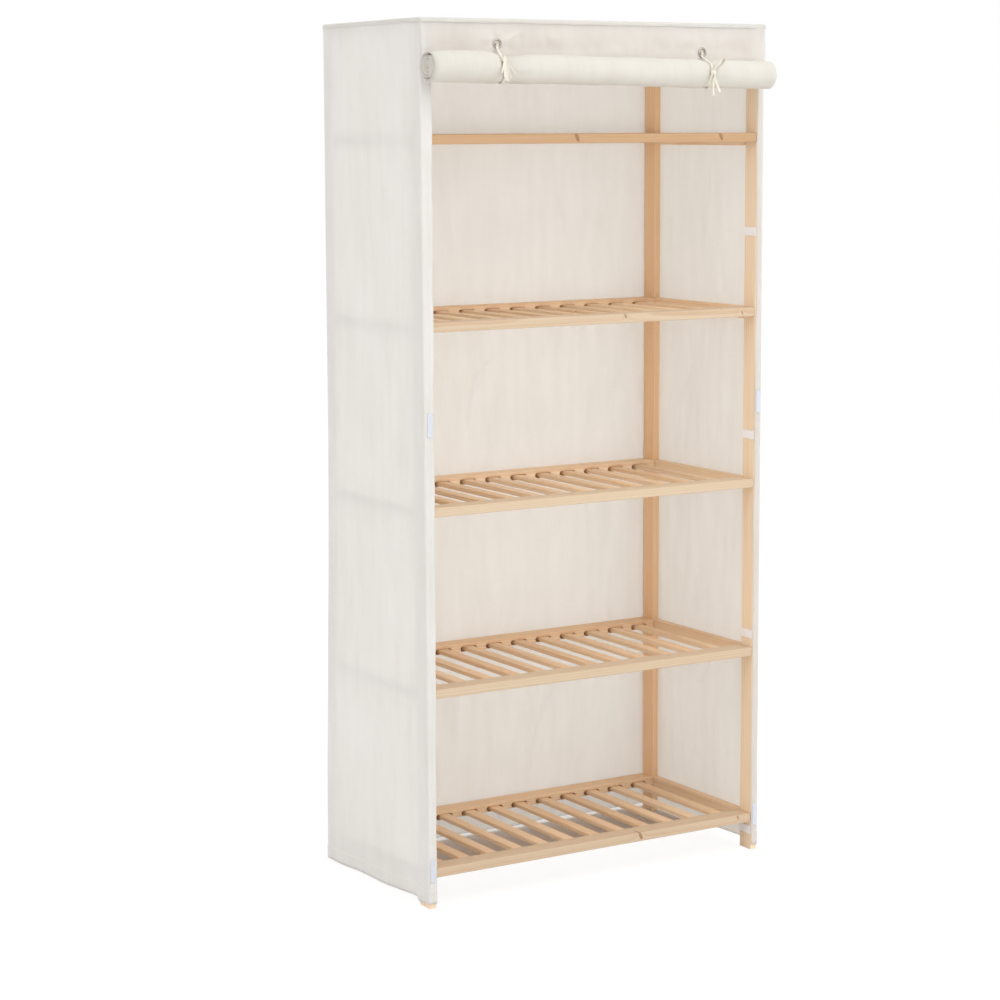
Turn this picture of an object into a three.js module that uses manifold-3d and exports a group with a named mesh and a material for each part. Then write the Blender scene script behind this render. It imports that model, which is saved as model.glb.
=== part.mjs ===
// A portable fabric wardrobe: a pine frame with four slatted shelves inside a sewn canvas cover,
// whose front flap is rolled up and tied under the top edge.
// Millimetres, +Z up, the open front towards -Y. The origin is on the floor under the middle of the part.

import * as THREE from 'three';
import { mergeVertices } from 'three/addons/utils/BufferGeometryUtils.js';
import Module from 'manifold-3d';

const wasm = await Module();
wasm.setup();

// Cover, measured over the cloth
const coverWidth = 790;
const coverDepth = 400;
const coverHeight = 1700;
const clothThickness = 1.6;
const clothClearance = 0.4;
const seamGap = 0.3;
const hemHeight = 9;
const returnWidth = 22;
const pipingRadius = 1.8;

// How the cloth hangs between the timbers
const foldDepth = 4.5;
const roofSag = 5;
const sideFoldCount = 2.5;
const backFoldCount = 5.5;
const foldLeanShare = 0.35;
const foldEvenShare = 0.55;

// Timber
const boardThickness = 15;
const postDepth = 38;
const railDepth = 42;
const railHeight = 18;
const rungHeight = 25;
const timberArris = 1.6;
const jointGap = 0.3;

// Levels: four shelves and the stretchers above them at equal steps, then the top rails
const lowestRailHeight = 60;
const topBayPitch = 214;
const shelfCount = 4;

// Slats, at equal steps from one end gap to the other, let into mortises that are longer than the slat
const slatCount = 12;
const slatWidth = 24;
const slatEndGap = 28;
const slatThickness = 9;
const slatDrop = 7;
const slatArris = 1.1;
const mortiseDepth = 12;
const mortiseEndRoom = 8;
const mortiseClearance = 0.5;

// Door flap: the header hangs from the top seam, the panel joins it to the roll
const flapStandOff = 2;
const headerDrop = 72;
const rollDrop = 96;
const rollRadius = 33;
const rollTurns = 4;
const rollCoreRadius = 5.5;
const rollLayerShare = 0.6;
const pinchShare = 0.2;
const pinchReach = 46;

// Eyelets and the tapes that hold the roll. The header hangs a little lower at the right one.
const eyeletSpacing = 474;
const leftEyeletDrop = 47;
const rightEyeletDrop = 58;
const eyeletRadius = 10;
const eyeletBore = 6.2;
const eyeletBarrelWall = 0.7;
const eyeletFlangeHeight = 1.6;
const washerThickness = 0.8;
const tapeWidth = 8;
const tapeThickness = 1.2;
const knotRadius = 7;
const bowLoopLength = 30;
const bowLoopWidth = 13;
const tailLength = 38;

// Tapes round the front posts, at equal steps, and the fastening patches on the front returns
const strapCount = 4;
const lowestStrapHeight = 42;
const strapWidth = 18;
const strapThickness = 1;
const lowestPatchHeight = 75;
const upperPatchDrop = 760;
const patchWidth = 20;
const patchLength = 46;
const patchThickness = 1;

const overrun = 1;

// Worked out from the sizes above
const frameHalfWidth = coverWidth / 2 - clothThickness - clothClearance;
const frameHalfDepth = coverDepth / 2 - clothThickness - clothClearance;
const frameTop = coverHeight - clothThickness - clothClearance;
const openHalfWidth = frameHalfWidth - boardThickness;
const openHalfDepth = frameHalfDepth - postDepth;
const topRailBottom = frameTop - railHeight;
const levelPitch = (topRailBottom - topBayPitch - lowestRailHeight) / shelfCount;
const railBottoms = steps(lowestRailHeight, topRailBottom - topBayPitch, shelfCount);
const rungTops = [...railBottoms.map((bottom) => bottom + railHeight), frameTop];
const panelTop = coverHeight - clothThickness - seamGap;
const betweenSides = coverWidth / 2 - clothThickness - seamGap;
const strapHeights = steps(lowestStrapHeight, coverHeight, strapCount).slice(0, strapCount);
const patchHeights = [lowestPatchHeight, coverHeight - upperPatchDrop];
const flapInside = -coverDepth / 2 - flapStandOff;
const headerBottom = coverHeight - headerDrop;
const rollHeight = coverHeight - rollDrop;
const rollPitch = (rollRadius - rollCoreRadius) / rollTurns;
const eyeletHeights = { left: coverHeight - leftEyeletDrop, right: coverHeight - rightEyeletDrop };
const tieStandOff = seamGap + washerThickness + seamGap + tapeThickness / 2;
const tieRingRadius = rollRadius * (1 - pinchShare) + tieStandOff;
const tieRingMiddle = flapInside - rollRadius * (1 - pinchShare);

const materials = {
  post: new THREE.MeshStandardMaterial({ color: 0xd9b285, roughness: 0.62, metalness: 0 }),
  rail: new THREE.MeshStandardMaterial({ color: 0xdeba8f, roughness: 0.62, metalness: 0 }),
  canvas: new THREE.MeshStandardMaterial({ color: 0xe8e4dc, roughness: 0.95, metalness: 0 }),
  tape: new THREE.MeshStandardMaterial({ color: 0xf2efe9, roughness: 0.9, metalness: 0 }),
  patch: new THREE.MeshStandardMaterial({ color: 0xe7e9ee, roughness: 0.95, metalness: 0 }),
  nickel: new THREE.MeshStandardMaterial({ color: 0xb5afa4, roughness: 0.3, metalness: 1 })
};

function named(name, geometry, material) {
  const mesh = new THREE.Mesh(geometry, material);
  mesh.name = name;
  return mesh;
}

// Places from one value to another in equal steps, both ends included.
function steps(from, to, count) {
  return Array.from({ length: count + 1 }, (_, step) => from + (to - from) * step / count);
}

// Joining and cutting

// The same triangles with shared corners, and nothing kept but their places.
function welded(geometry) {
  const bare = new THREE.BufferGeometry();
  bare.setAttribute('position', geometry.getAttribute('position'));
  bare.setIndex(geometry.getIndex());
  return mergeVertices(bare);
}

function solidFrom(geometry) {
  const merged = welded(geometry);
  return new wasm.Manifold(new wasm.Mesh({
    numProp: 3,
    vertProperties: new Float32Array(merged.getAttribute('position').array),
    triVerts: new Uint32Array(merged.getIndex().array)
  }));
}

function geometryFrom(solid) {
  const { vertProperties, triVerts } = solid.getMesh();
  const geometry = new THREE.BufferGeometry();
  geometry.setAttribute('position', new THREE.BufferAttribute(new Float32Array(vertProperties), 3));
  geometry.setIndex(new THREE.BufferAttribute(new Uint32Array(triVerts), 1));
  return geometry;
}

function joined(geometries) {
  return geometries.map(solidFrom).reduce((whole, piece) => whole.add(piece));
}

// Meshes from rings of points: every ring has as many points as the next, and each pair is bridged.
// An open run of rings is closed by a cap at each end, cut into the triangles of the ring's outline.
function ringGeometry(rings, { closed = false, capTriangles = null } = {}) {
  const around = rings[0].length;
  const positions = rings.flat().flatMap((point) => [point.x, point.y, point.z]);
  const index = [];
  const last = closed ? rings.length : rings.length - 1;
  for (let ring = 0; ring < last; ring += 1) {
    const here = ring * around;
    const there = ((ring + 1) % rings.length) * around;
    for (let step = 0; step < around; step += 1) {
      const next = (step + 1) % around;
      index.push(here + step, there + step, there + next);
      index.push(here + step, there + next, here + next);
    }
  }
  if (!closed) {
    const end = (rings.length - 1) * around;
    for (const [a, b, c] of capTriangles) {
      index.push(a, b, c);
      index.push(end + c, end + b, end + a);
    }
  }
  const geometry = new THREE.BufferGeometry();
  geometry.setAttribute('position', new THREE.Float32BufferAttribute(positions, 3));
  geometry.setIndex(index);
  return facingOut(geometry);
}

// Turns every triangle round where the mesh encloses a negative volume.
function facingOut(geometry) {
  const index = geometry.getIndex().array;
  const position = geometry.getAttribute('position');
  const corners = [new THREE.Vector3(), new THREE.Vector3(), new THREE.Vector3()];
  let volume = 0;
  for (let start = 0; start < index.length; start += 3) {
    corners.forEach((corner, place) => corner.fromBufferAttribute(position, index[start + place]));
    volume += corners[0].dot(corners[1].clone().cross(corners[2]));
  }
  if (volume < 0) {
    for (let start = 0; start < index.length; start += 3) {
      [index[start + 1], index[start + 2]] = [index[start + 2], index[start + 1]];
    }
  }
  return geometry;
}

// Timbers

// A straight timber with eased edges, centred on its own middle, its grain along one axis.
function timber(sizeX, sizeY, sizeZ, grain, arris = timberArris) {
  const [across, up, length] = {
    x: [sizeZ, sizeY, sizeX],
    y: [sizeX, sizeZ, sizeY],
    z: [sizeX, sizeY, sizeZ]
  }[grain];
  const outline = new THREE.Shape();
  outline.moveTo(-across / 2 + arris, -up / 2);
  outline.lineTo(across / 2 - arris, -up / 2);
  outline.lineTo(across / 2, -up / 2 + arris);
  outline.lineTo(across / 2, up / 2 - arris);
  outline.lineTo(across / 2 - arris, up / 2);
  outline.lineTo(-across / 2 + arris, up / 2);
  outline.lineTo(-across / 2, up / 2 - arris);
  outline.lineTo(-across / 2, -up / 2 + arris);
  outline.closePath();
  const bar = new THREE.ExtrudeGeometry(outline, { depth: length, bevelEnabled: false });
  bar.translate(0, 0, -length / 2);
  if (grain === 'x') bar.rotateY(Math.PI / 2);
  if (grain === 'y') bar.rotateX(-Math.PI / 2);
  return bar;
}

// A slot with round ends, cut into a rail's inner face from y = 0 to the mortise depth.
function mortiseCutter() {
  const radius = slatThickness / 2 + mortiseClearance;
  const halfRun = slatWidth / 2 + mortiseEndRoom - radius;
  const roundSteps = 2;
  const outline = new THREE.Shape();
  outline.absarc(halfRun, 0, radius, -Math.PI / 2, Math.PI / 2);
  outline.absarc(-halfRun, 0, radius, Math.PI / 2, Math.PI * 1.5);
  const slot = new THREE.ExtrudeGeometry(outline, {
    depth: mortiseDepth + overrun,
    bevelEnabled: false,
    curveSegments: roundSteps
  });
  slot.rotateX(-Math.PI / 2);
  slot.translate(0, -overrun, 0);
  return slot;
}

// One shelf, glued up from two rails and the slats, with z = 0 under the rails.
function shelfGeometry() {
  const railLength = 2 * (openHalfWidth - jointGap);
  const railInside = frameHalfDepth - railDepth;
  const slatMiddle = railHeight - slatDrop - slatThickness / 2;
  const endSlat = openHalfWidth - slatEndGap - slatWidth / 2;
  const slatPlaces = steps(-endSlat, endSlat, slatCount - 1);
  const slatLength = 2 * (railInside + mortiseDepth + overrun);
  const pieces = [];
  for (const side of [-1, 1]) {
    const rail = timber(railLength, railDepth, railHeight, 'x');
    rail.translate(0, side * (frameHalfDepth - railDepth / 2), railHeight / 2);
    let cut = solidFrom(rail);
    for (const place of slatPlaces) {
      const mortise = mortiseCutter();
      if (side < 0) mortise.rotateZ(Math.PI);
      mortise.translate(place, side * railInside, slatMiddle);
      cut = cut.subtract(solidFrom(mortise));
    }
    pieces.push(cut);
  }
  for (const place of slatPlaces) {
    const bar = timber(slatWidth, slatLength, slatThickness, 'y', slatArris);
    bar.translate(place, 0, slatMiddle);
    pieces.push(solidFrom(bar));
  }
  return geometryFrom(pieces.reduce((whole, piece) => whole.add(piece)));
}

function makeFrame() {
  const frame = new THREE.Group();
  for (const [across, sideX] of [['left', -1], ['right', 1]]) {
    for (const [along, sideY] of [['front', -1], ['back', 1]]) {
      const bar = timber(boardThickness, postDepth, frameTop, 'z');
      const post = named(`post_${along}_${across}`, bar, materials.post);
      post.position.set(
        sideX * (frameHalfWidth - boardThickness / 2),
        sideY * (frameHalfDepth - postDepth / 2),
        frameTop / 2
      );
      frame.add(post);
    }
    rungTops.forEach((top, level) => {
      const bar = timber(boardThickness, 2 * (openHalfDepth - jointGap), rungHeight, 'y');
      const rung = named(`rung_${across}_${level + 1}`, bar, materials.post);
      rung.position.set(sideX * (frameHalfWidth - boardThickness / 2), 0, top - rungHeight / 2);
      frame.add(rung);
    });
  }
  const shelf = shelfGeometry();
  for (let level = 0; level < shelfCount; level += 1) {
    const mesh = named(`shelf_${level + 1}`, shelf, materials.rail);
    mesh.position.z = railBottoms[level];
    frame.add(mesh);
  }
  for (const [along, sideY] of [['front', -1], ['back', 1]]) {
    for (const [kind, bottom] of [['stretcher', railBottoms[shelfCount]], ['top_rail', topRailBottom]]) {
      const bar = timber(2 * (openHalfWidth - jointGap), railDepth, railHeight, 'x');
      const rail = named(`${kind}_${along}`, bar, materials.rail);
      rail.position.set(0, sideY * (frameHalfDepth - railDepth / 2), bottom + railHeight / 2);
      frame.add(rail);
    }
  }
  return frame;
}

// Cloth

// A sheet of cloth over a grid. inset says how far its outer face lies inside the cover's own face,
// and place turns a position on the sheet and a depth behind that face into a point.
function clothSheet(columns, rows, inset, place) {
  const outline = (row, depth) => columns.map((column) => place(column, row, inset(column, row) + depth));
  const rings = rows.map((row) => [...outline(row, 0), ...outline(row, clothThickness).reverse()]);
  const capTriangles = [];
  const around = rings[0].length;
  for (let step = 0; step < columns.length - 1; step += 1) {
    const opposite = around - 1 - step;
    capTriangles.push([step, step + 1, opposite - 1]);
    capTriangles.push([step, opposite - 1, opposite]);
  }
  return ringGeometry(rings, { capTriangles });
}

// Rises from 0 at one end of a span to 1 at its middle and falls back to 0, full in between.
function swell(share) {
  const fullnessShare = 0.65;
  return Math.max(0, Math.sin(Math.PI * share)) ** fullnessShare;
}

// Heights of a hanging panel: the hem, both edges of every rung, and a few rows in each bay.
function panelRows() {
  const baySteps = 4;
  const rows = [hemHeight];
  let from = hemHeight;
  rungTops.forEach((top, level) => {
    const bottom = top - rungHeight;
    rows.push(...steps(from, bottom, level === 0 ? 1 : baySteps).slice(1));
    from = level === rungTops.length - 1 ? panelTop : top;
    rows.push(from);
  });
  return rows;
}

// 0 where a rung or rail bears on the cloth, 1 half way between two of them and at the free hem.
function bayShare(height) {
  let from = null;
  for (const top of rungTops) {
    const bottom = top - rungHeight;
    if (height <= bottom) {
      if (from === null) return (bottom - height) / (bottom - hemHeight);
      return swell((height - from) / (bottom - from));
    }
    if (height <= top) return 0;
    from = top;
  }
  return 0;
}

// Soft vertical folds that die out at the posts and at every rung.
function foldInset(along, openHalf, foldCount, height) {
  const share = (along + openHalf) / (2 * openHalf);
  if (share <= 0 || share >= 1) return 0;
  const lean = foldLeanShare * height / levelPitch;
  const wave = foldEvenShare + (1 - foldEvenShare) * Math.cos(2 * Math.PI * (foldCount * share + lean));
  return foldDepth * swell(share) * bayShare(height) * wave;
}

function sidePanel(side) {
  const columnCount = 8;
  const columns = [-coverDepth / 2, ...steps(-openHalfDepth, openHalfDepth, columnCount), coverDepth / 2];
  const inset = (y, z) => foldInset(y, openHalfDepth, sideFoldCount, z);
  return clothSheet(columns, panelRows(), inset, (y, z, depth) => (
    new THREE.Vector3(side * (coverWidth / 2 - depth), y, z)
  ));
}

function backPanel() {
  const columnCount = 12;
  const columns = [-betweenSides, ...steps(-openHalfWidth, openHalfWidth, columnCount), betweenSides];
  const inset = (x, z) => foldInset(x, openHalfWidth, backFoldCount, z);
  return clothSheet(columns, panelRows(), inset, (x, z, depth) => (
    new THREE.Vector3(x, coverDepth / 2 - depth, z)
  ));
}

// The roof is flat over the timbers and sags between them.
function roofPanel() {
  const columnCount = 8;
  const rowCount = 6;
  const sagHalfDepth = frameHalfDepth - railDepth;
  const columns = [-coverWidth / 2, ...steps(-openHalfWidth, openHalfWidth, columnCount), coverWidth / 2];
  const rows = [-coverDepth / 2, ...steps(-sagHalfDepth, sagHalfDepth, rowCount), coverDepth / 2];
  const inset = (x, y) => {
    const [shareX, shareY] = [(x / openHalfWidth + 1) / 2, (y / sagHalfDepth + 1) / 2];
    return roofSag * swell(shareX) * swell(shareY);
  };
  return clothSheet(columns, rows, inset, (x, y, depth) => new THREE.Vector3(x, y, coverHeight - depth));
}

// A flat upright strip of cloth, from one x to another, with its outer face at y.
function uprightStrip(fromX, toX, bottom, top, outerY, thickness = clothThickness) {
  const strip = new THREE.BoxGeometry(toX - fromX, thickness, top - bottom);
  strip.translate((fromX + toX) / 2, outerY + thickness / 2, (bottom + top) / 2);
  return strip;
}

function pipingGeometry() {
  const pipingSides = 8;
  const cord = new THREE.CylinderGeometry(pipingRadius, pipingRadius, coverWidth, pipingSides);
  cord.rotateZ(Math.PI / 2);
  cord.translate(0, -coverDepth / 2 - seamGap - pipingRadius, coverHeight - pipingRadius);
  return cord;
}

function makeCover() {
  const cover = new THREE.Group();
  cover.add(named('cover_roof', roofPanel(), materials.canvas));
  cover.add(named('cover_back', backPanel(), materials.canvas));
  cover.add(named('roof_piping', pipingGeometry(), materials.canvas));
  for (const [across, side] of [['left', -1], ['right', 1]]) {
    cover.add(named(`cover_${across}`, sidePanel(side), materials.canvas));
    const [fromX, toX] = [side * betweenSides, side * (betweenSides - returnWidth)].sort((a, b) => a - b);
    const strip = uprightStrip(fromX, toX, hemHeight, panelTop, -coverDepth / 2);
    cover.add(named(`front_return_${across}`, strip, materials.canvas));
    patchHeights.forEach((height, level) => {
      const middle = (fromX + toX) / 2;
      const outerY = -coverDepth / 2 - seamGap - patchThickness;
      const patch = uprightStrip(middle - patchWidth / 2, middle + patchWidth / 2,
        height - patchLength / 2, height + patchLength / 2, outerY, patchThickness);
      cover.add(named(`patch_${across}_${level + 1}`, patch, materials.patch));
    });
    strapHeights.forEach((height, level) => {
      cover.add(named(`strap_${across}_${level + 1}`, strapGeometry(side, height), materials.tape));
    });
  }
  return cover;
}

// A tape sewn to the front return, drawn back along the post and round its rear edge to the side panel.
function strapGeometry(side, height) {
  const inner = openHalfWidth - seamGap;
  const front = -coverDepth / 2 + clothThickness + seamGap;
  const back = -openHalfDepth + seamGap;
  const outer = frameHalfWidth;
  const outline = new THREE.Shape();
  outline.moveTo(side * (inner - strapThickness), front);
  outline.lineTo(side * inner, front);
  outline.lineTo(side * inner, back);
  outline.lineTo(side * outer, back);
  outline.lineTo(side * outer, back + strapThickness);
  outline.lineTo(side * (inner - strapThickness), back + strapThickness);
  outline.closePath();
  const strap = new THREE.ExtrudeGeometry(outline, { depth: strapWidth, bevelEnabled: false });
  strap.translate(0, 0, height - strapWidth / 2);
  return strap;
}

// Door flap

function headerGeometry() {
  const top = coverHeight - 2 * pipingRadius - seamGap;
  const holeRadius = eyeletBore + eyeletBarrelWall + seamGap;
  const outline = new THREE.Shape();
  outline.moveTo(-coverWidth / 2, headerBottom);
  outline.lineTo(coverWidth / 2, headerBottom);
  outline.lineTo(coverWidth / 2, top);
  outline.lineTo(-coverWidth / 2, top);
  outline.closePath();
  for (const [across, side] of [['left', -1], ['right', 1]]) {
    const hole = new THREE.Path();
    hole.absarc(side * eyeletSpacing / 2, eyeletHeights[across], holeRadius, 0, 2 * Math.PI);
    outline.holes.push(hole);
  }
  const sheet = new THREE.ExtrudeGeometry(outline, {
    depth: clothThickness,
    bevelEnabled: false,
    curveSegments: 8
  });
  sheet.rotateX(Math.PI / 2);
  sheet.translate(0, flapInside, 0);
  return sheet;
}

// Places along the roll, each with the share by which a tie draws it in there
const rollStations = [
  [-coverWidth / 2, 0],
  ...[-1, 1].flatMap((side) => [[-1, 0], [0, pinchShare], [1, 0]].map(([step, pinch]) => (
    [side * eyeletSpacing / 2 + step * pinchReach, pinch]
  ))),
  [coverWidth / 2, 0]
];

// The roll is one long spiral of cloth: it starts at the back, where the panel comes down,
// and winds under, forwards and up. A tie draws it in, with its back staying against the panel.
function rollGeometry() {
  const stepsPerTurn = [24, 18, 12, 9];
  const angles = [0];
  for (let turn = 0; turn < rollTurns; turn += 1) {
    const count = stepsPerTurn[Math.min(turn, stepsPerTurn.length - 1)];
    for (let step = 1; step <= count; step += 1) angles.push(2 * Math.PI * (turn + step / count));
  }
  const layer = rollPitch * rollLayerShare;
  const spiral = (inward) => angles.map((angle) => {
    const radius = rollRadius - rollPitch * angle / (2 * Math.PI) - inward;
    return new THREE.Vector2(radius * Math.cos(angle), -radius * Math.sin(angle));
  });
  const outline = [...spiral(0), ...spiral(layer).reverse()];
  if (THREE.ShapeUtils.isClockWise(outline)) outline.reverse();
  const capTriangles = THREE.ShapeUtils.triangulateShape(outline, []);
  const rings = rollStations.map(([x, pinch]) => outline.map((point) => (
    new THREE.Vector3(x, flapInside - rollRadius * (1 - pinch) + point.x * (1 - pinch),
      rollHeight + point.y * (1 - pinch))
  )));
  return ringGeometry(rings, { capTriangles });
}

// Eyelet: a flanged barrel pressed through the cloth from the front, and a plain washer behind.
function eyeletGeometry(eyeletHeight) {
  const barrelRadius = eyeletBore + eyeletBarrelWall;
  const front = clothThickness + seamGap;
  const profile = [
    [eyeletBore, -seamGap - washerThickness],
    [barrelRadius, -seamGap - washerThickness],
    [barrelRadius, front],
    [eyeletRadius, front],
    [eyeletRadius, front + eyeletFlangeHeight / 2],
    [(eyeletRadius + barrelRadius) / 2, front + eyeletFlangeHeight],
    [eyeletBore + eyeletBarrelWall / 2, front + eyeletFlangeHeight],
    [eyeletBore, front + eyeletFlangeHeight / 2],
    [eyeletBore, -seamGap - washerThickness]
  ];
  return turnedRing(profile, eyeletHeight);
}

function washerGeometry(eyeletHeight) {
  const bore = eyeletBore + eyeletBarrelWall + seamGap;
  const profile = [
    [bore, -seamGap - washerThickness],
    [eyeletRadius, -seamGap - washerThickness],
    [eyeletRadius, -seamGap],
    [bore, -seamGap],
    [bore, -seamGap - washerThickness]
  ];
  return turnedRing(profile, eyeletHeight);
}

// A profile of radius and height turned about an axis that points forwards out of the flap.
function turnedRing(profile, eyeletHeight) {
  const ringSegments = 16;
  const points = profile.map(([radius, height]) => new THREE.Vector2(radius, height));
  const ring = welded(new THREE.LatheGeometry(points, ringSegments));
  ring.rotateX(Math.PI);
  ring.translate(0, flapInside, eyeletHeight);
  return facingOut(ring);
}

// A flat tape along points, its width as near to the given side direction as its path lets it lie.
function tapeGeometry(points, side, closed = false) {
  const count = points.length;
  const rings = points.map((point, step) => {
    const before = points[closed ? (step + count - 1) % count : Math.max(step - 1, 0)];
    const after = points[closed ? (step + 1) % count : Math.min(step + 1, count - 1)];
    const tangent = after.clone().sub(before).normalize();
    const across = side.clone().addScaledVector(tangent, -side.dot(tangent)).normalize();
    const normal = tangent.clone().cross(across);
    return [[-1, -1], [1, -1], [1, 1], [-1, 1]].map(([acrossSign, normalSign]) => (
      point.clone()
        .addScaledVector(across, acrossSign * tapeWidth / 2)
        .addScaledVector(normal, normalSign * tapeThickness / 2)
    ));
  });
  return ringGeometry(rings, { closed, capTriangles: [[0, 1, 2], [0, 2, 3]] });
}

// The tape goes out through the eyelet, over the front of the roll, under it and up behind the flap.
function tieLoop(eyeletHeight) {
  const ringPoint = (angle) => new THREE.Vector3(
    0, tieRingMiddle - tieRingRadius * Math.cos(angle), rollHeight + tieRingRadius * Math.sin(angle)
  );
  const ahead = flapInside - clothThickness - seamGap - eyeletFlangeHeight - tapeThickness;
  const behind = tieRingMiddle + tieRingRadius;
  const turnShares = [0.3, 0.11, -0.08, -0.27, -0.46, -0.65, -0.84, -1];
  const corners = [
    new THREE.Vector3(0, flapInside - clothThickness / 2, eyeletHeight),
    new THREE.Vector3(0, ahead, eyeletHeight - tapeThickness),
    new THREE.Vector3(0, ahead - tapeThickness, eyeletHeight - eyeletBore),
    new THREE.Vector3(0, ahead - tapeWidth / 2, eyeletHeight - eyeletRadius - tapeThickness),
    ...turnShares.map((share) => ringPoint(share * Math.PI)),
    new THREE.Vector3(0, behind, (rollHeight + eyeletHeight) / 2),
    new THREE.Vector3(0, behind, eyeletHeight - eyeletRadius),
    new THREE.Vector3(0, behind - tapeThickness / 4, eyeletHeight - tapeThickness)
  ];
  const path = new THREE.CatmullRomCurve3(corners, true, 'centripetal');
  const loopSteps = 2 * corners.length;
  return tapeGeometry(path.getPoints(loopSteps).slice(0, loopSteps), new THREE.Vector3(1, 0, 0), true);
}

// A bow lies on the front of the roll, and its knot reaches back to the tape that draws the roll in.
// Directions are in turns from straight down, towards +X.
function tieGeometry(eyeletHeight, { loopTurns, tailTurns }) {
  const knotAngle = Math.PI / 9;
  const rollFront = flapInside - 2 * rollRadius + rollPitch / 2;
  const knot = new THREE.Vector3(
    0, rollFront - seamGap - tapeWidth / 2, rollHeight + tieRingRadius * Math.sin(knotAngle)
  );
  const tapeFront = tieRingMiddle - tieRingRadius * Math.cos(knotAngle);
  const knotHalfDepth = (tapeFront - knot.y + tapeWidth) / 2;
  const knotSteps = 8;
  const ball = new THREE.SphereGeometry(knotRadius, knotSteps, knotSteps - 2);
  ball.scale(1, knotHalfDepth / knotRadius, 1);
  ball.translate(knot.x, tapeFront + tapeWidth / 4 - knotHalfDepth, knot.z);
  const pieces = [tieLoop(eyeletHeight), ball];
  for (const turn of loopTurns) pieces.push(bowLoop(knot, turn));
  for (const turn of tailTurns) pieces.push(bowTail(knot, turn));
  return geometryFrom(joined(pieces));
}

function bowPoint(knot, turn, along, across) {
  const angle = 2 * Math.PI * turn;
  return new THREE.Vector3(
    knot.x + along * Math.sin(angle) + across * Math.cos(angle),
    knot.y,
    knot.z - along * Math.cos(angle) + across * Math.sin(angle)
  );
}

function bowLoop(knot, turn) {
  const loopSteps = 12;
  const points = Array.from({ length: loopSteps }, (_, step) => {
    const phase = 2 * Math.PI * step / loopSteps;
    const along = bowLoopLength * (1 - Math.cos(phase)) / 2;
    const across = bowLoopWidth / 2 * Math.sin(phase) * (1 - Math.cos(phase)) / 2;
    return bowPoint(knot, turn, along, across);
  });
  return tapeGeometry(points, new THREE.Vector3(0, 1, 0), true);
}

function bowTail(knot, turn) {
  const tailSteps = 5;
  const points = steps(0, 1, tailSteps).map((share) => (
    bowPoint(knot, turn, tailLength * share, tapeWidth * share * share / 2)
  ));
  return tapeGeometry(points, new THREE.Vector3(0, 1, 0));
}

function makeDoor() {
  const door = new THREE.Group();
  const outerY = flapInside - clothThickness;
  const [panelBottom, panelEnd] = [rollHeight + seamGap, headerBottom - seamGap];
  const panel = uprightStrip(-coverWidth / 2, coverWidth / 2, panelBottom, panelEnd, outerY);
  door.add(named('door_header', headerGeometry(), materials.canvas));
  door.add(named('door_panel', panel, materials.canvas));
  door.add(named('door_roll', rollGeometry(), materials.canvas));
  const bows = {
    left: { loopTurns: [-0.12, 0.1], tailTurns: [-0.04, 0.03] },
    right: { loopTurns: [0.4, -0.1], tailTurns: [0.02, 0.09] }
  };
  for (const [across, side] of [['left', -1], ['right', 1]]) {
    const height = eyeletHeights[across];
    const trim = new THREE.Group();
    trim.position.x = side * eyeletSpacing / 2;
    trim.add(named(`eyelet_${across}`, eyeletGeometry(height), materials.nickel));
    trim.add(named(`eyelet_washer_${across}`, washerGeometry(height), materials.nickel));
    trim.add(named(`tie_${across}`, tieGeometry(height, bows[across]), materials.tape));
    door.add(trim);
  }
  return door;
}

const group = new THREE.Group();
group.name = 'fabric_wardrobe';
group.add(makeFrame(), makeCover(), makeDoor());

// The rolled flap stands out in front, so the whole is moved back until the origin is under its middle.
group.updateMatrixWorld(true);
const bounds = new THREE.Box3().setFromObject(group);
group.position.y = -(bounds.min.y + bounds.max.y) / 2;

export default group;
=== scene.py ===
import functools
import math

import bmesh
import bpy
import numpy as np
from mathutils import Matrix, Vector


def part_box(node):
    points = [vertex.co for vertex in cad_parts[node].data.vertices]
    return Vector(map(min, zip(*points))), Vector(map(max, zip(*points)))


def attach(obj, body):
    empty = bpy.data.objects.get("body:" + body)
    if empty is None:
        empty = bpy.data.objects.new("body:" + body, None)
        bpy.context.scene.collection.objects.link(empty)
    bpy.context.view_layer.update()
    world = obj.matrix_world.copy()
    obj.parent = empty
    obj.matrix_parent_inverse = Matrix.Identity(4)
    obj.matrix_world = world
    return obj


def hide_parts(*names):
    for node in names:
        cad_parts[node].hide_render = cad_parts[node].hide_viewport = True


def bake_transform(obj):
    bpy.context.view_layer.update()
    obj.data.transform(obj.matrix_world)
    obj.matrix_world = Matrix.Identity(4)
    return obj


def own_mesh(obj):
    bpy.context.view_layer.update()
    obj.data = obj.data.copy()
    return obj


# A portable fabric wardrobe: a pine frame with slatted shelves in a canvas cover, its door flap
# rolled up and tied. Metres, +Z up, the open front towards -Y.

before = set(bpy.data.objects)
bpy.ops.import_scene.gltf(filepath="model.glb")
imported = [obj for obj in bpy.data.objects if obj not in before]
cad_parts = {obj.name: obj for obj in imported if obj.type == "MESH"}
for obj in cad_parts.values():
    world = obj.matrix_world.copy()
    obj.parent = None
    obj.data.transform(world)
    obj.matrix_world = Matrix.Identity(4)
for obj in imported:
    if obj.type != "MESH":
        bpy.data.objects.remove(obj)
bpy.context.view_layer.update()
scene = bpy.context.scene
rootBody = "frame_and_cover"
print("frame loaded:", len(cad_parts), "nodes")

camera = dict(
    place=(-2.7621, -4.3030, 1.5002),
    turnRight=31.43,  # degrees from looking straight along +Y
    tilt=-7.25,
    roll=-0.21,
    sensor=36,  # millimetres, as the lens
    lens=91.784,
    shiftY=-0.05,
)


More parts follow.
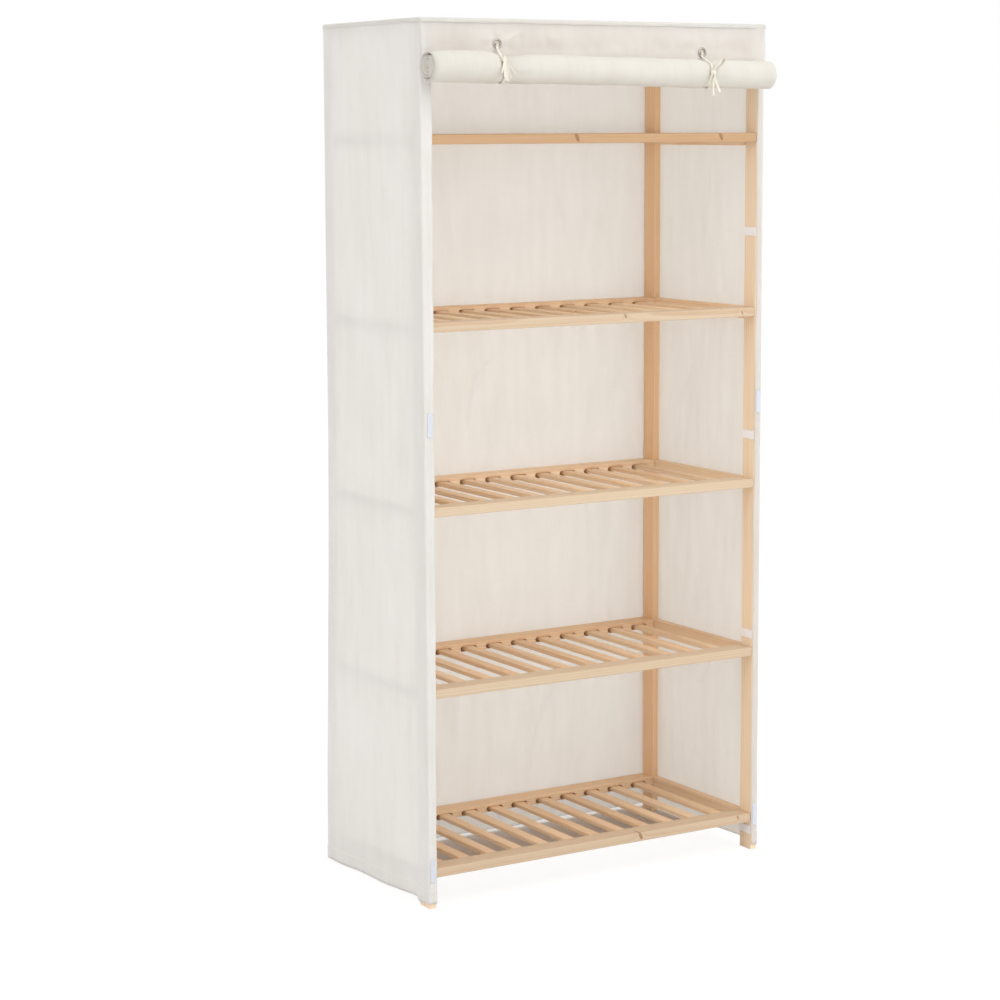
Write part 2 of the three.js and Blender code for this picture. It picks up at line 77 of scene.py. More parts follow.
def makeCamera():
    data = bpy.data.cameras.new("camera")
    data.sensor_width, data.lens = camera["sensor"], camera["lens"]
    data.shift_y = camera["shiftY"]
    data.clip_start, data.clip_end = 0.05, 200
    made = bpy.data.objects.new("camera", data)
    scene.collection.objects.link(made)
    made.matrix_world = (
        Matrix.Translation(camera["place"])
        @ Matrix.Rotation(-math.radians(camera["turnRight"]), 4, "Z")
        @ Matrix.Rotation(math.radians(90 + camera["tilt"]), 4, "X")
        @ Matrix.Rotation(math.radians(camera["roll"]), 4, "Z")
    )
    scene.camera = made


makeCamera()


# Shader maths. A wire is one output socket, so that sums of sockets read as plain sums.
class Wire:
    def __init__(self, finish, socket):
        self.finish, self.socket = finish, socket

    def out(self, name):  # another output of the same node
        return Wire(self.finish, self.socket.node.outputs[name])

    def math(self, operation, *others, clamp=False):
        sockets = dict(enumerate((self, *others)))
        return self.finish.node("ShaderNodeMath", dict(operation=operation, use_clamp=clamp), sockets)

    def clamped(self):
        return self.math("ADD", 0, clamp=True)

    def __add__(self, other):
        return self.math("ADD", other)

    def __sub__(self, other):
        return self.math("SUBTRACT", other)

    def __rsub__(self, other):
        return self.math("MULTIPLY_ADD", -1, other)

    def __mul__(self, other):
        return self.math("MULTIPLY", other)

    def __truediv__(self, other):
        return self.math("DIVIDE", other)

    def __pow__(self, other):
        return self.math("POWER", other)

    __radd__ = __add__
    __rmul__ = __mul__


# The node tree of a material or of the world
class Finish:
    def __init__(self, name, home="materials"):
        self.owner = getattr(bpy.data, home).new(name)
        self.owner.use_nodes = True
        self.nodes = self.owner.node_tree.nodes
        self.links = self.owner.node_tree.links
        self.nodes.clear()

    # Any node: its settings first, then a value or a wire for each socket
    def node(self, kind, settings=None, sockets=None, output=0):
        made = self.nodes.new(kind)
        for name, value in (settings or {}).items():
            setattr(made, name, value)
        for name, value in (sockets or {}).items():
            if isinstance(value, Wire):
                self.links.new(value.socket, made.inputs[name])
            else:
                made.inputs[name].default_value = value
        return Wire(self, made.outputs[output]) if made.outputs else None

    def attribute(self, name):
        return self.node("ShaderNodeAttribute", dict(attribute_name=name), {}, "Vector")

    def objectPlace(self):
        return self.node("ShaderNodeTexCoord", {}, {}, "Object")

    def split(self, vector):
        parts = self.node("ShaderNodeSeparateXYZ", {}, {0: vector})
        return parts, parts.out("Y"), parts.out("Z")

    def point(self, x, y, z):
        return self.node("ShaderNodeCombineXYZ", {}, {0: x, 1: y, 2: z})

    def noise(self, vector, scale, detail=2.0, roughness=0.5):
        sockets = {"Vector": vector, "Scale": scale, "Detail": detail, "Roughness": roughness}
        return self.node("ShaderNodeTexNoise", dict(noise_dimensions="3D"), sockets)

    def mix(self, share, start, end, blend="MIX"):
        settings = dict(data_type="RGBA", blend_type=blend, clamp_factor=True)
        return self.node("ShaderNodeMix", settings, {0: share, 6: start, 7: end}, 2)

    def bump(self, height, distance, strength):
        return self.node("ShaderNodeBump", {}, {"Height": height, "Distance": distance, "Strength": strength})

    # The finished surface. through is the share of light that thin cloth lets pass.
    def surface(self, through=0.0, **sockets):
        named = {name.replace("_", " "): value for name, value in sockets.items()}
        shader = self.node("ShaderNodeBsdfPrincipled", {}, named)
        if through:
            glow = self.node("ShaderNodeBsdfTranslucent", {}, {"Color": canvas["through"]})
            shader = self.node("ShaderNodeMixShader", {}, {0: through, 1: shader, 2: glow})
        self.node("ShaderNodeOutputMaterial", {}, {"Surface": shader})
        return self.owner


# A colour written as on a screen, 0 to 255, turned linear
def srgb(red, green, blue):
    share = np.array([red, green, blue]) / 255
    linear = np.where(share <= 0.04045, share / 12.92, ((share + 0.055) / 1.055) ** 2.4)
    return (*linear.tolist(), 1.0)


# Finishes

# A pace is how many steps a noise takes in a metre, here along the grain and across it
pine = dict(
    ringStep=0.0034,
    ringPace=90,
    ringUneven=1.6,
    wanderPace=(1.3, 9),
    wander=0.016,
    fibrePace=(14, 1100),
    streakPace=(2.2, 160),
    lineShare=0.62,
    fibreShare=0.3,
    streakShare=0.5,
    early=srgb(242, 222, 194),
    late=srgb(220, 182, 142),
    warm=srgb(216, 176, 128),
    knot=srgb(156, 104, 66),
    knotEdge=srgb(110, 66, 40),
    knotShare=0.65,
    rimShare=0.45,
    relief=0.00022,
)


# Growth rings are circles round the pith, which the grain attribute has at its zero. Ring lines
# darken slowly and end sharply, and they bend round a knot, which is a slanted stroke with a dark
# rim. Fibres are noise drawn out along the grain.
def makePine():
    finish = Finish("pine")
    along, sideA, sideB = finish.split(finish.attribute("grain"))
    warmth, shade = finish.split(finish.attribute("tint"))[:2]

    def grained(pace, *detail):
        ahead, aside = pace
        return finish.noise(finish.point(along * ahead, sideA * aside, sideB * aside), 1.0, *detail)

    cores, rims, pulls = [], [], []
    for name in ("knotA", "knotB"):
        up, across, size = finish.split(finish.attribute(name))
        slant, wide = up * 1.8 + across * 0.7, across * 0.8
        reach = (slant * slant + wide * wide) ** 0.5 / size
        cores.append(((1.2 - reach) * 3).clamped())
        rims.append((1 - ((reach - 0.95) * 5).math("ABSOLUTE")).clamped())
        pulls.append((reach * reach * 0.22 + 1) ** -1 * size)
    core, rim = cores[0].math("MAXIMUM", cores[1]), rims[0].math("MAXIMUM", rims[1])
    bend = pulls[0] + pulls[1]
    wander = grained(pine["wanderPace"], 3.0)
    radius = (sideA * sideA + sideB * sideB) ** 0.5 + (wander - 0.5) * pine["wander"] + bend * 0.9
    uneven = finish.noise(finish.point(radius * pine["ringPace"], 0.0, 0.0), 1.0, 1.0)
    ring = (radius / pine["ringStep"] + uneven * pine["ringUneven"]).math("FRACT")
    line = ring ** 2.6 * (1 - ((ring - 0.9) * 10).clamped())
    fibre = grained(pine["fibrePace"], 3.0, 0.6)
    streak = grained(pine["streakPace"], 2.0)
    share = line * pine["lineShare"] + (fibre - 0.5) * pine["fibreShare"]
    share = share + (streak - 0.5) * pine["streakShare"] + 0.05
    wood = finish.mix(share, pine["early"], pine["late"])
    wood = finish.mix(warmth, wood, finish.mix(0.75, wood, pine["warm"], "MULTIPLY"))
    # The tint's shade: the piece's tone, and painted light on the pieces in the cover's shade
    wood = finish.mix(1.0, wood, finish.point(shade, shade, shade), "MULTIPLY")
    wood = finish.mix(core * pine["knotShare"], wood, finish.mix(fibre, pine["knotEdge"], pine["knot"]))
    wood = finish.mix(rim * pine["rimShare"], wood, pine["knotEdge"])
    relief = fibre * 0.5 - line * 0.5 - rim * 0.8
    return finish.surface(
        Base_Color=wood,
        Roughness=0.56 + line * 0.1 - core * 0.15,
        Normal=finish.bump(relief, pine["relief"], 0.8),
        Specular_IOR_Level=0.42,
    )


# through is the colour of light that has passed, the shares say how much of it passes. Paces are
# across the cloth and up it, for slubs across a thread and along it.
canvas = dict(
    thread=0.00085,
    driftPace=(60, 60),
    drift=0.0016,
    slubPace=(900, 22),
    cloudPace=(5, 5),
    streakPace=(42, 5),
    fleckPace=(320, 320),
    fleckFrom=0.74,
    fleckStrength=0.4,
    pale=srgb(248, 246, 243),
    deep=srgb(235, 231, 224),
    fleck=srgb(196, 176, 146),
    relief=0.00016,
    through=srgb(250, 249, 247),
    throughShare=0.48,
    leftThrough=0.26,
    rolledPale=srgb(232, 228, 219),
    rolledDeep=srgb(221, 215, 204),
    rolledThrough=0.12,
)


# A plain weave on the cloth's own measure: where the two waves have one sign the warp lies on top, elsewhere
# the weft. Threads wander a little and are thick and thin along their length. Soft streaks run up the cloth:
# painted shade and light of drape wrinkles, with some uneven tone of the cotton. The weave's low places are a
# little deeper in colour: painted shade between the threads.
def makeCanvas(name, pale, deep, through):
    finish = Finish(name)
    flat = finish.node("ShaderNodeUVMap", dict(uv_map="cloth"))
    u, v = finish.split(flat)[:2]

    # Noise on the cloth, which moves along with u and v once they have drifted
    def spread(pace, layer, *detail):
        return finish.noise(finish.point(u * pace[0], v * pace[1], layer), 1.0, *detail)

    driftU, driftV = spread(canvas["driftPace"], 0.0, 1.0), spread(canvas["driftPace"], 7.0, 1.0)
    u, v = u + (driftU - 0.5) * canvas["drift"], v + (driftV - 0.5) * canvas["drift"]
    waveU, waveV = ((way * (math.pi / canvas["thread"])).math("SINE") for way in (u, v))
    warpOnTop = (waveU * waveV).math("GREATER_THAN", 0.0)
    highU, highV = waveU.math("ABSOLUTE"), waveV.math("ABSOLUTE")
    warp, weft = highU * (highV * 0.6 + 0.4), highV * (highU * 0.6 + 0.4)
    slubU, slubV = spread(canvas["slubPace"], 0.0, 2.0), spread(canvas["slubPace"][::-1], 5.0, 2.0)
    weave = warpOnTop * warp * (slubU + 0.5) + (1 - warpOnTop) * weft * (slubV + 0.5)
    cloud = spread(canvas["cloudPace"], 2.0, 3.0)
    # Painted shade and light of drape wrinkles, with some uneven tone: upright streaks in the colour
    streak = spread(canvas["streakPace"], 4.0, 3.0, 0.6)
    fleck = spread(canvas["fleckPace"], 9.0, 1.0)
    share = (slubU - 0.5) * 0.7 + (slubV - 0.5) * 0.7 + (cloud - 0.5) * 0.5 + (streak - 0.5) * 1.2
    # Painted shade between the threads: the weave's low places are deeper in colour
    share = share + (1 - weave) * 0.25 + 0.25
    colour = finish.mix(share.clamped(), pale, deep)
    flecked = ((fleck - canvas["fleckFrom"]) * 8).clamped() * canvas["fleckStrength"]
    colour = finish.mix(flecked, colour, canvas["fleck"])
    return finish.surface(
        through=through,
        Base_Color=colour,
        Roughness=0.94 - weave * 0.08,
        Normal=finish.bump(weave, canvas["relief"], 0.7),
        Specular_IOR_Level=0.2,
        Sheen_Weight=0.12,
        Sheen_Roughness=0.6,
    )


# The two colours that each small part's finish goes between, and its relief where it has one
trims = dict(
    tape=(srgb(236, 231, 219), srgb(212, 204, 188), 0.00014),
    # The straps' tape is paler and cooler than the ties': painted light that lifts it out of the shade inside
    # the cover
    strap=(srgb(253, 251, 252), srgb(246, 243, 246), 0.00014),
    patch=(srgb(200, 203, 213), srgb(226, 229, 238), 0.0005),
    thread=(srgb(244, 241, 234), srgb(214, 207, 194)),
    nickel=(srgb(196, 190, 180), srgb(168, 160, 148), 0.00004),
)
# Paces in them, of the ribs in radians and of the noises in steps for each metre
trimPaces = dict(
    ribs=5200, ribDepth=3000, soft=900.0, loops=950.0, pile=420.0, twist=1800.0, scuff=700.0, cloud=90.0
)


# Slanted ribs, crossed, under a soft nap
def makeTape(name, pale, deep, relief):
    finish = Finish(name)
    place = finish.objectPlace()
    x, y, z = finish.split(place)
    ribs = trimPaces["ribs"]
    rib = ((x + z) * ribs).math("SINE") * ((z - x) * ribs + y * trimPaces["ribDepth"]).math("SINE")
    soft = finish.noise(place, trimPaces["soft"], 3.0)
    return finish.surface(
        Base_Color=finish.mix(soft * 0.6 + rib * 0.15, pale, deep),
        Roughness=0.92 - soft * 0.08,
        Normal=finish.bump(rib * 0.5 + soft, relief, 0.7),
        Specular_IOR_Level=0.2,
        Sheen_Weight=0.1,
    )


# The loop side of a fastening patch: a dense pile of small loops, their low places deeper in colour as painted
# shade between them
def makeHookAndLoop(deep, pale, relief):
    finish = Finish("hook_and_loop")
    place = finish.objectPlace()
    sockets = {"Vector": place, "Scale": trimPaces["loops"]}
    cell = finish.node("ShaderNodeTexVoronoi", dict(feature="F1"), sockets)
    pile = finish.noise(place, trimPaces["pile"], 4.0, 0.7)
    height = (1 - cell * 1.4).clamped() * 0.6 + pile
    return finish.surface(
        # Painted shade: where the pile is low the colour goes deeper
        Base_Color=finish.mix(height * 0.7, deep, pale),
        Roughness=0.9 - pile * 0.1,
        Normal=finish.bump(height, relief, 0.8),
        Sheen_Weight=0.2,
    )


def makeThread(pale, deep):
    finish = Finish("sewing_thread")
    twist = finish.noise(finish.objectPlace(), trimPaces["twist"], 2.0)
    return finish.surface(
        Base_Color=finish.mix(twist, pale, deep),
        Roughness=0.7 + twist * 0.1,
        Specular_IOR_Level=0.3,
    )


def makeNickel(pale, deep, relief):
    finish = Finish("nickel")
    place = finish.objectPlace()
    scuff = finish.noise(place, trimPaces["scuff"], 5.0, 0.65)
    cloud = finish.noise(place, trimPaces["cloud"], 2.0)
    return finish.surface(
        Base_Color=finish.mix(cloud, pale, deep),
        Metallic=1.0,
        Roughness=0.22 + scuff * 0.2,
        Normal=finish.bump(scuff, relief, 0.5),
    )


finishes = dict(
    pine=makePine(),
    canvas=makeCanvas("canvas", canvas["pale"], canvas["deep"], canvas["throughShare"]),
    left=makeCanvas("left_canvas", canvas["pale"], canvas["deep"], canvas["leftThrough"]),
    rolled=makeCanvas("rolled_canvas", canvas["rolledPale"], canvas["rolledDeep"], canvas["rolledThrough"]),
    tape=makeTape("cotton_tape", *trims["tape"]),
    strap=makeTape("strap_tape_painted_light", *trims["strap"]),
    patch=makeHookAndLoop(*trims["patch"]),
    thread=makeThread(*trims["thread"]),
    nickel=makeNickel(*trims["nickel"]),
)
print("finishes made:", len(finishes))


# Meshes from whole arrays

# A mesh with its finish, its flat measure as the map named cloth, and vectors at its points
def addMesh(name, points, faces, finish, cloth=None, layers=None):
    mesh = bpy.data.meshes.new(name)
    mesh.from_pydata(np.asarray(points).reshape(-1, 3).tolist(), [], faces)
    mesh.update()
    if cloth is not None:
        corners = np.empty(len(mesh.loops), np.int32)
        mesh.loops.foreach_get("vertex_index", corners)
        layer = mesh.uv_layers.new(name="cloth")
        layer.data.foreach_set("uv", np.asarray(cloth).reshape(-1, 2)[corners].astype(np.float32).ravel())
    for key, values in (layers or {}).items():
        layer = mesh.attributes.new(key, "FLOAT_VECTOR", "POINT")
        layer.data.foreach_set("vector", np.ravel(values).astype(np.float32))
    mesh.polygons.foreach_set("use_smooth", np.ones(len(mesh.polygons), bool))
    mesh.materials.append(finish)
    made = bpy.data.objects.new(name, mesh)
    scene.collection.objects.link(made)
    return made


# A closed solid: faces turned outwards, flat faces kept flat by weighting the normals
def closedSolid(made, sharpAngle=38):
    work = bmesh.new()
    work.from_mesh(made.data)
    bmesh.ops.remove_doubles(work, verts=work.verts, dist=1e-6)
    bmesh.ops.recalc_face_normals(work, faces=work.faces)
    work.to_mesh(made.data)
    work.free()
    made.data.set_sharp_from_angle(angle=math.radians(sharpAngle))
    even = made.modifiers.new("even_shading", "WEIGHTED_NORMAL")
    even.keep_sharp, even.weight = True, 100
    return made


# A cloth's real thickness, on the inner side of its surface
def thicken(made, thickness):
    wall = made.modifiers.new("thickness", "SOLIDIFY")
    wall.thickness, wall.offset, wall.use_even_offset = thickness, -1, False


# The squares between the points of a grid, rows by columns, closed round where asked
def gridFaces(rows, columns, wrapColumns=False, wrapRows=False):
    index = np.arange(rows * columns).reshape(rows, columns)
    if wrapColumns:
        index = np.concatenate([index, index[:, :1]], 1)
    if wrapRows:
        index = np.concatenate([index, index[:1]], 0)
    return np.stack([index[:-1, :-1], index[:-1, 1:], index[1:, 1:], index[1:, :-1]], -1).reshape(-1, 4)


# Points and faces of several parts as one mesh
def joinedParts(parts):
    points, faces, count = [], [], 0
    for partPoints, partFaces in parts:
        partPoints = np.asarray(partPoints).reshape(-1, 3)
        points.append(partPoints)
        faces += [[corner + count for corner in face] for face in partFaces]
        count += len(partPoints)
    return np.concatenate(points), faces


# Every piece goes on the body it rides on, and hides the nodes that it replaces
def settle(made, nodes=(), body=rootBody):
    if body:
        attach(made, body)
    if nodes:
        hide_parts(*nodes)
    return made


# Places along stretches that follow each other, each given by its start, its end and a count
def steps(*stretches):
    return np.unique(np.concatenate([np.linspace(*stretch) for stretch in stretches]))


# Places in order, without those nearer than least to the one before
def sparePlaces(parts, digits, least):
    places = np.unique(np.round(np.concatenate(parts), digits))
    return places[np.concatenate([[True], np.diff(places) > least])]


# Soft random swell: waves in random directions added up, with a mean of 0 and a spread of about 1
def softNoise(u, v, seed, stepU, stepV, waves=24):
    pick = np.random.default_rng(seed)
    total = np.zeros(np.broadcast(u, v).shape)
    for wave in range(waves):
        angle, phase = pick.uniform(0, 2 * np.pi, 2)
        pace = np.sqrt(pick.uniform(0.1, 1))
        total += np.cos(2 * np.pi * pace * (np.cos(angle) * u / stepU + np.sin(angle) * v / stepV) + phase)
    return total * math.sqrt(2 / waves)


# From 0 at start to 1 at end, with no slope at either
def smoothStep(value, start, end):
    share = np.clip((value - start) / (end - start), 0, 1)
    return share * share * (3 - 2 * share)


# A smooth path through points: on each stretch the cubic whose slope at a point is half the step
# between its neighbours
def smoothPath(points, perStretch=6, closed=False):
    points = np.array(points, float)
    if closed:
        p0, p1, p2, p3 = (np.roll(points, shift, 0) for shift in (1, 0, -1, -2))
    else:
        padded = np.concatenate([[2 * points[0] - points[1]], points, [2 * points[-1] - points[-2]]])
        p0, p1, p2, p3 = padded[:-3], padded[1:-2], padded[2:-1], padded[3:]
    t = np.linspace(0, 1, perStretch, endpoint=False)[None, :, None]
    p0, p1, p2, p3 = (p[:, None, :] for p in (p0, p1, p2, p3))
    path = 0.5 * (
        2 * p1 + (p2 - p0) * t + (2 * p0 - 5 * p1 + 4 * p2 - p3) * t**2 + (3 * p1 - p0 - 3 * p2 + p3) * t**3
    )
    path = path.reshape(-1, 3)
    return path if closed else np.concatenate([path, points[-1:]])


# Timbers

timber = dict(
    ease=0.0016,
    endEase=0.0008,
    ringAngles=(0, 30, 60, 90),
    pithDistance=(0.02, 0.07),
    pithInFront=3.0,
    warmthSpread=0.08,
    shadeSpread=0.02,
    knotShare=0.3,  # how many of the plain bars have a small knot somewhere
    knotAlong=0.42,
    knotAcross=0.006,
    knotSize=(0.0012, 0.0026),
    noKnot=(9.0, 0.0, 0.004),  # stands in where a bar has fewer than two, 9 m away
)

# How warm the wood is, from 0 to 1, and a shade that its colour is multiplied by. The shade is partly the
# piece's own tone, the front rails and stretcher being a darker wood, and partly painted light: above 1 it
# lifts the posts, rungs, back rails and slats that stand in the cover's shade.
tints = dict(
    frontPost=(0.05, 1.1),
    backPost=(0.7, 1.22),
    rung=(0.45, 1.15),
    stretcher_front=(1.0, 0.82),
    stretcher_back=(0.5, 0.95),
    top_rail_front=(0.3, 0.9),
    top_rail_back=(0.3, 0.95),
    frontRail=(0.28, 0.79),
    backRail=(0.6, 1.08),
    slat=(0.5, 1.06),
)

# The larger knots: how far along the bar from its middle, how far up its face, and their size
knotPlaces = {
    "stretcher_front": ((-0.054, 0.0, 0.0068), (0.289, 0.0, 0.0062)),
    "rail_front_4": ((0.060, 0.001, 0.0035), (0.345, -0.003, 0.003)),
    "rail_front_1": ((0.100, 0.0, 0.0062), (0.345, 0.001, 0.003)),
}


# The outline of a bar is four quarter rounds on the corners of its section. It is drawn in a
# little at each end and carried along the grain. Returns the points, ring by ring, and the faces.
def barSurface(low, high, grainAxis, ease, endEase, cuts=()):
    low, high = np.array(low, float), np.array(high, float)
    axisA, axisB = [axis for axis in range(3) if axis != grainAxis]
    turn = np.radians(timber["ringAngles"])
    angle = (turn + np.radians([[0], [90], [180], [270]])).ravel()
    count = len(turn)
    signA, signB = np.repeat([1, -1, -1, 1], count), np.repeat([1, 1, -1, -1], count)
    drawn, back = endEase * (1 - np.cos(turn)), endEase * (1 - np.sin(turn))
    inset = np.concatenate([drawn[::-1], np.zeros(len(cuts)), drawn])
    along = np.concatenate([low[grainAxis] + back[::-1], np.array(cuts, float), high[grainAxis] - back])
    middle, half = (low + high) / 2, (high - low) / 2
    points = np.empty((len(along), len(angle), 3))
    points[..., grainAxis] = along[:, None]
    for axis, sign, wave in ((axisA, signA, np.cos(angle)), (axisB, signB, np.sin(angle))):
        points[..., axis] = middle[axis] + sign * (half[axis] - ease) + (ease - inset[:, None]) * wave
    faces = gridFaces(len(along), len(angle), wrapColumns=True).tolist()
    ring = list(range(len(angle)))
    last = (len(along) - 1) * len(angle)
    return points, faces, [ring[::-1], [last + corner for corner in ring]]


# Where a bar's growth rings have their middle, its tint and where its knots are. A bar with knots
# of its own has its pith in front, so that they come out on the front face.
def grainLayers(points, low, high, grainAxis, seed, tint, knots=()):
    pick = np.random.default_rng(seed)
    axisA, axisB = [axis for axis in range(3) if axis != grainAxis]
    points = np.asarray(points).reshape(-1, 3)
    middle = (np.array(low) + np.array(high)) / 2
    direction, distance = pick.uniform(0, 2 * np.pi), pick.uniform(*timber["pithDistance"])
    if knots:
        direction = timber["pithInFront"]
    shift = pick.uniform(0, 30)
    fromMiddle = points - middle
    grain = np.stack([
        points[:, grainAxis] + shift,
        fromMiddle[:, axisA] - distance * np.cos(direction),
        fromMiddle[:, axisB] - distance * np.sin(direction),
    ], -1)
    warmth = np.clip(tint[0] + pick.normal(0, timber["warmthSpread"]), 0, 1)
    shade = tint[1] * (1 + pick.normal(0, timber["shadeSpread"]))
    layers = {"grain": grain, "tint": np.tile([warmth, shade, 0.0], (len(points), 1))}
    length = high[grainAxis] - low[grainAxis]
    if not knots and pick.uniform() < timber["knotShare"]:
        place = pick.uniform(-timber["knotAlong"], timber["knotAlong"]) * length
        off = pick.uniform(-timber["knotAcross"], timber["knotAcross"])
        knots = ((place, off, pick.uniform(*timber["knotSize"])),)
    knots = list(knots) + [timber["noKnot"]] * (2 - len(knots))
    for key, (at, off, size) in zip(("knotA", "knotB"), knots):
        across = fromMiddle[:, axisA] * np.sin(direction) - fromMiddle[:, axisB] * np.cos(direction)
        layers[key] = np.stack([fromMiddle[:, grainAxis] - at, across - off, np.full(len(points), size)], -1)
    return layers


# A bar in the place of its node
def pineBar(node, grainAxis, seed, tint):
    low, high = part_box(node)
    points, faces, caps = barSurface(low, high, grainAxis, timber["ease"], timber["endEase"])
    layers = grainLayers(points, low, high, grainAxis, seed, tints[tint], knotPlaces.get(node, ()))
    made = closedSolid(addMesh(f"pine_{node}", points, faces + caps, finishes["pine"], None, layers))
    settle(made, [node])


def makePosts():
    for pair, depth in enumerate(("front", "back")):
        for side, across in enumerate(("left", "right")):
            pineBar(f"post_{depth}_{across}", 2, 10 + 2 * pair + side, f"{depth}Post")
    for side, across in enumerate(("left", "right")):
        for level in range(1, 7):
            pineBar(f"rung_{across}_{level}", 1, 30 + 10 * side + level, "rung")
    for place, node in enumerate(("stretcher_front", "stretcher_back", "top_rail_front", "top_rail_back")):
        pineBar(node, 0, 60 + place, node)


shelf = dict(
    openHalfWidth=0.378,  # between the posts
    railDepth=0.042,
    railHeight=0.018,
    slatCount=12,
    slatWidth=0.024,
    slatThickness=0.009,
    slatEndGap=0.028,  # from a post to the first slat
    slatDrop=0.007,  # from the rails' top down to the slats' top
    slatEase=0.0026,
    slatEndRoom=0.0004,
    mortiseDepth=0.012,
    mortiseEndRoom=0.008,
    mortiseClearance=0.0005,
    mouthEase=0.0003,
)


# Where the slats have their middles along the rails
def slatPlaces():
    end = shelf["openHalfWidth"] - shelf["slatEndGap"] - shelf["slatWidth"] / 2
    return np.linspace(-end, end, shelf["slatCount"])


# A rail with its slots: the bar's inner face is left open between its ends and filled again by
# two flat pieces round each slot, and the slot is three rings of its round-ended outline
def slottedRail(rail, low, high, inward, node, seed, tint):
    places = slatPlaces()
    half = (places[1] - places[0]) / 2
    cuts = np.concatenate([places - half, places[-1:] + half])
    points, faces, caps = barSurface(low, high, 0, timber["ease"], timber["endEase"], cuts)
    rows, around = points.shape[:2]
    quarter = len(timber["ringAngles"])
    flat = around - 1 if inward > 0 else 2 * quarter - 1  # the outline's stretch on the inner face
    beside = (flat + 1) % around
    inner = high[1] if inward > 0 else low[1]
    start, end = quarter, quarter + len(cuts) - 1
    keep = np.ones((rows - 1, around), bool)
    keep[start - 1:end + 1, flat] = False
    faces = np.array(faces).reshape(rows - 1, around, 4)[keep].tolist()
    lowColumn, highColumn = sorted((flat, beside), key=lambda column: points[0, column, 2])
    slotMiddle = low[2] + shelf["railHeight"] - shelf["slatDrop"] - shelf["slatThickness"] / 2
    radius = shelf["slatThickness"] / 2 + shelf["mortiseClearance"]
    run = shelf["slatWidth"] / 2 + shelf["mortiseEndRoom"] - radius
    # The slot's outline goes from straight right, over the top and the left end, and round to it again
    turn = np.concatenate([np.linspace(0, 90, 5), np.linspace(90, 270, 9), np.linspace(270, 360, 5)[:-1]])
    turn = np.radians(turn)
    shift = np.concatenate([np.full(5, run), np.full(9, -run), np.full(4, run)])
    rings = ((radius + shelf["mouthEase"], 0), (radius, shelf["mouthEase"]), (radius, shelf["mortiseDepth"]))
    slot = np.array([
        np.stack([
            shift + reach * np.cos(turn),
            np.full(len(turn), inner - inward * depth),
            slotMiddle + reach * np.sin(turn),
        ], -1)
        for reach, depth in rings
    ])
    ringCount = len(turn)
    middles = np.stack([cuts, np.full(len(cuts), inner), np.full(len(cuts), slotMiddle)], -1)
    middleStart = rows * around
    total = middleStart + len(cuts)
    allPoints = [points.reshape(-1, 3), middles]
    for slat, place in enumerate(places):
        allPoints.append((slot + np.array([place, 0, 0])).reshape(-1, 3))
        ring = list(range(total, total + ringCount))
        left, right = (start + slat) * around, (start + slat + 1) * around
        leftMiddle, rightMiddle = middleStart + slat, middleStart + slat + 1
        upper, lower = ring[:ringCount // 2 + 1], ring[ringCount // 2:] + ring[:1]
        faces.append([leftMiddle, left + highColumn, right + highColumn, rightMiddle] + upper)
        faces.append([rightMiddle, right + lowColumn, left + lowColumn, leftMiddle] + lower)
        faces += (gridFaces(3, ringCount, wrapColumns=True) + total).tolist()
        faces.append(list(range(total + 2 * ringCount, total + 3 * ringCount)))
        total += 3 * ringCount
    # The plain ends of the face take in the middle point of the cut beside them
    near, far = (start - 1) * around, start * around
    faces.append([near + flat, near + beside, far + beside, middleStart, far + flat])
    near, far = end * around, (end + 1) * around
    faces.append([near + flat, middleStart + len(cuts) - 1, near + beside, far + beside, far + flat])
    points = np.concatenate(allPoints)
    layers = grainLayers(points, low, high, 0, seed, tints[tint], knotPlaces.get(rail, ()))
    made = closedSolid(addMesh(f"pine_{rail}", points, faces + caps, finishes["pine"], None, layers))
    settle(made, [node])


def makeShelves():
    for level in range(1, 5):
        node = f"shelf_{level}"
        low, high = (np.array(corner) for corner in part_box(node))
        depth, height = shelf["railDepth"], shelf["railHeight"]
        frontHigh = np.array([high[0], low[1] + depth, low[2] + height])
        slottedRail(f"rail_front_{level}", low, frontHigh, 1, node, 100 + level, "frontRail")
        backLow = np.array([low[0], high[1] - depth, low[2]])
        backHigh = np.array([high[0], high[1], low[2] + height])
        slottedRail(f"rail_back_{level}", backLow, backHigh, -1, node, 110 + level, "backRail")
        parts, layers = [], []
        reach = depth - shelf["mortiseDepth"] - shelf["slatEndRoom"]
        bottom = low[2] + height - shelf["slatDrop"] - shelf["slatThickness"]
        for slat, place in enumerate(slatPlaces()):
            slatLow = np.array([place - shelf["slatWidth"] / 2, low[1] + reach, bottom])
            slatTop = bottom + shelf["slatThickness"]
            slatHigh = np.array([place + shelf["slatWidth"] / 2, high[1] - reach, slatTop])
            points, faces, caps = barSurface(slatLow, slatHigh, 1, shelf["slatEase"], timber["endEase"])
            parts.append((points, faces + caps))
            layers.append(grainLayers(points, slatLow, slatHigh, 1, 1000 * level + slat, tints["slat"]))
        points, faces = joinedParts(parts)
        layers = {key: np.concatenate([layer[key] for layer in layers]) for key in layers[0]}
        made = closedSolid(addMesh(f"pine_slats_{level}", points, faces, finishes["pine"], None, layers))
        settle(made, [node])


makePosts()
makeShelves()
print("timbers made")


# Cover

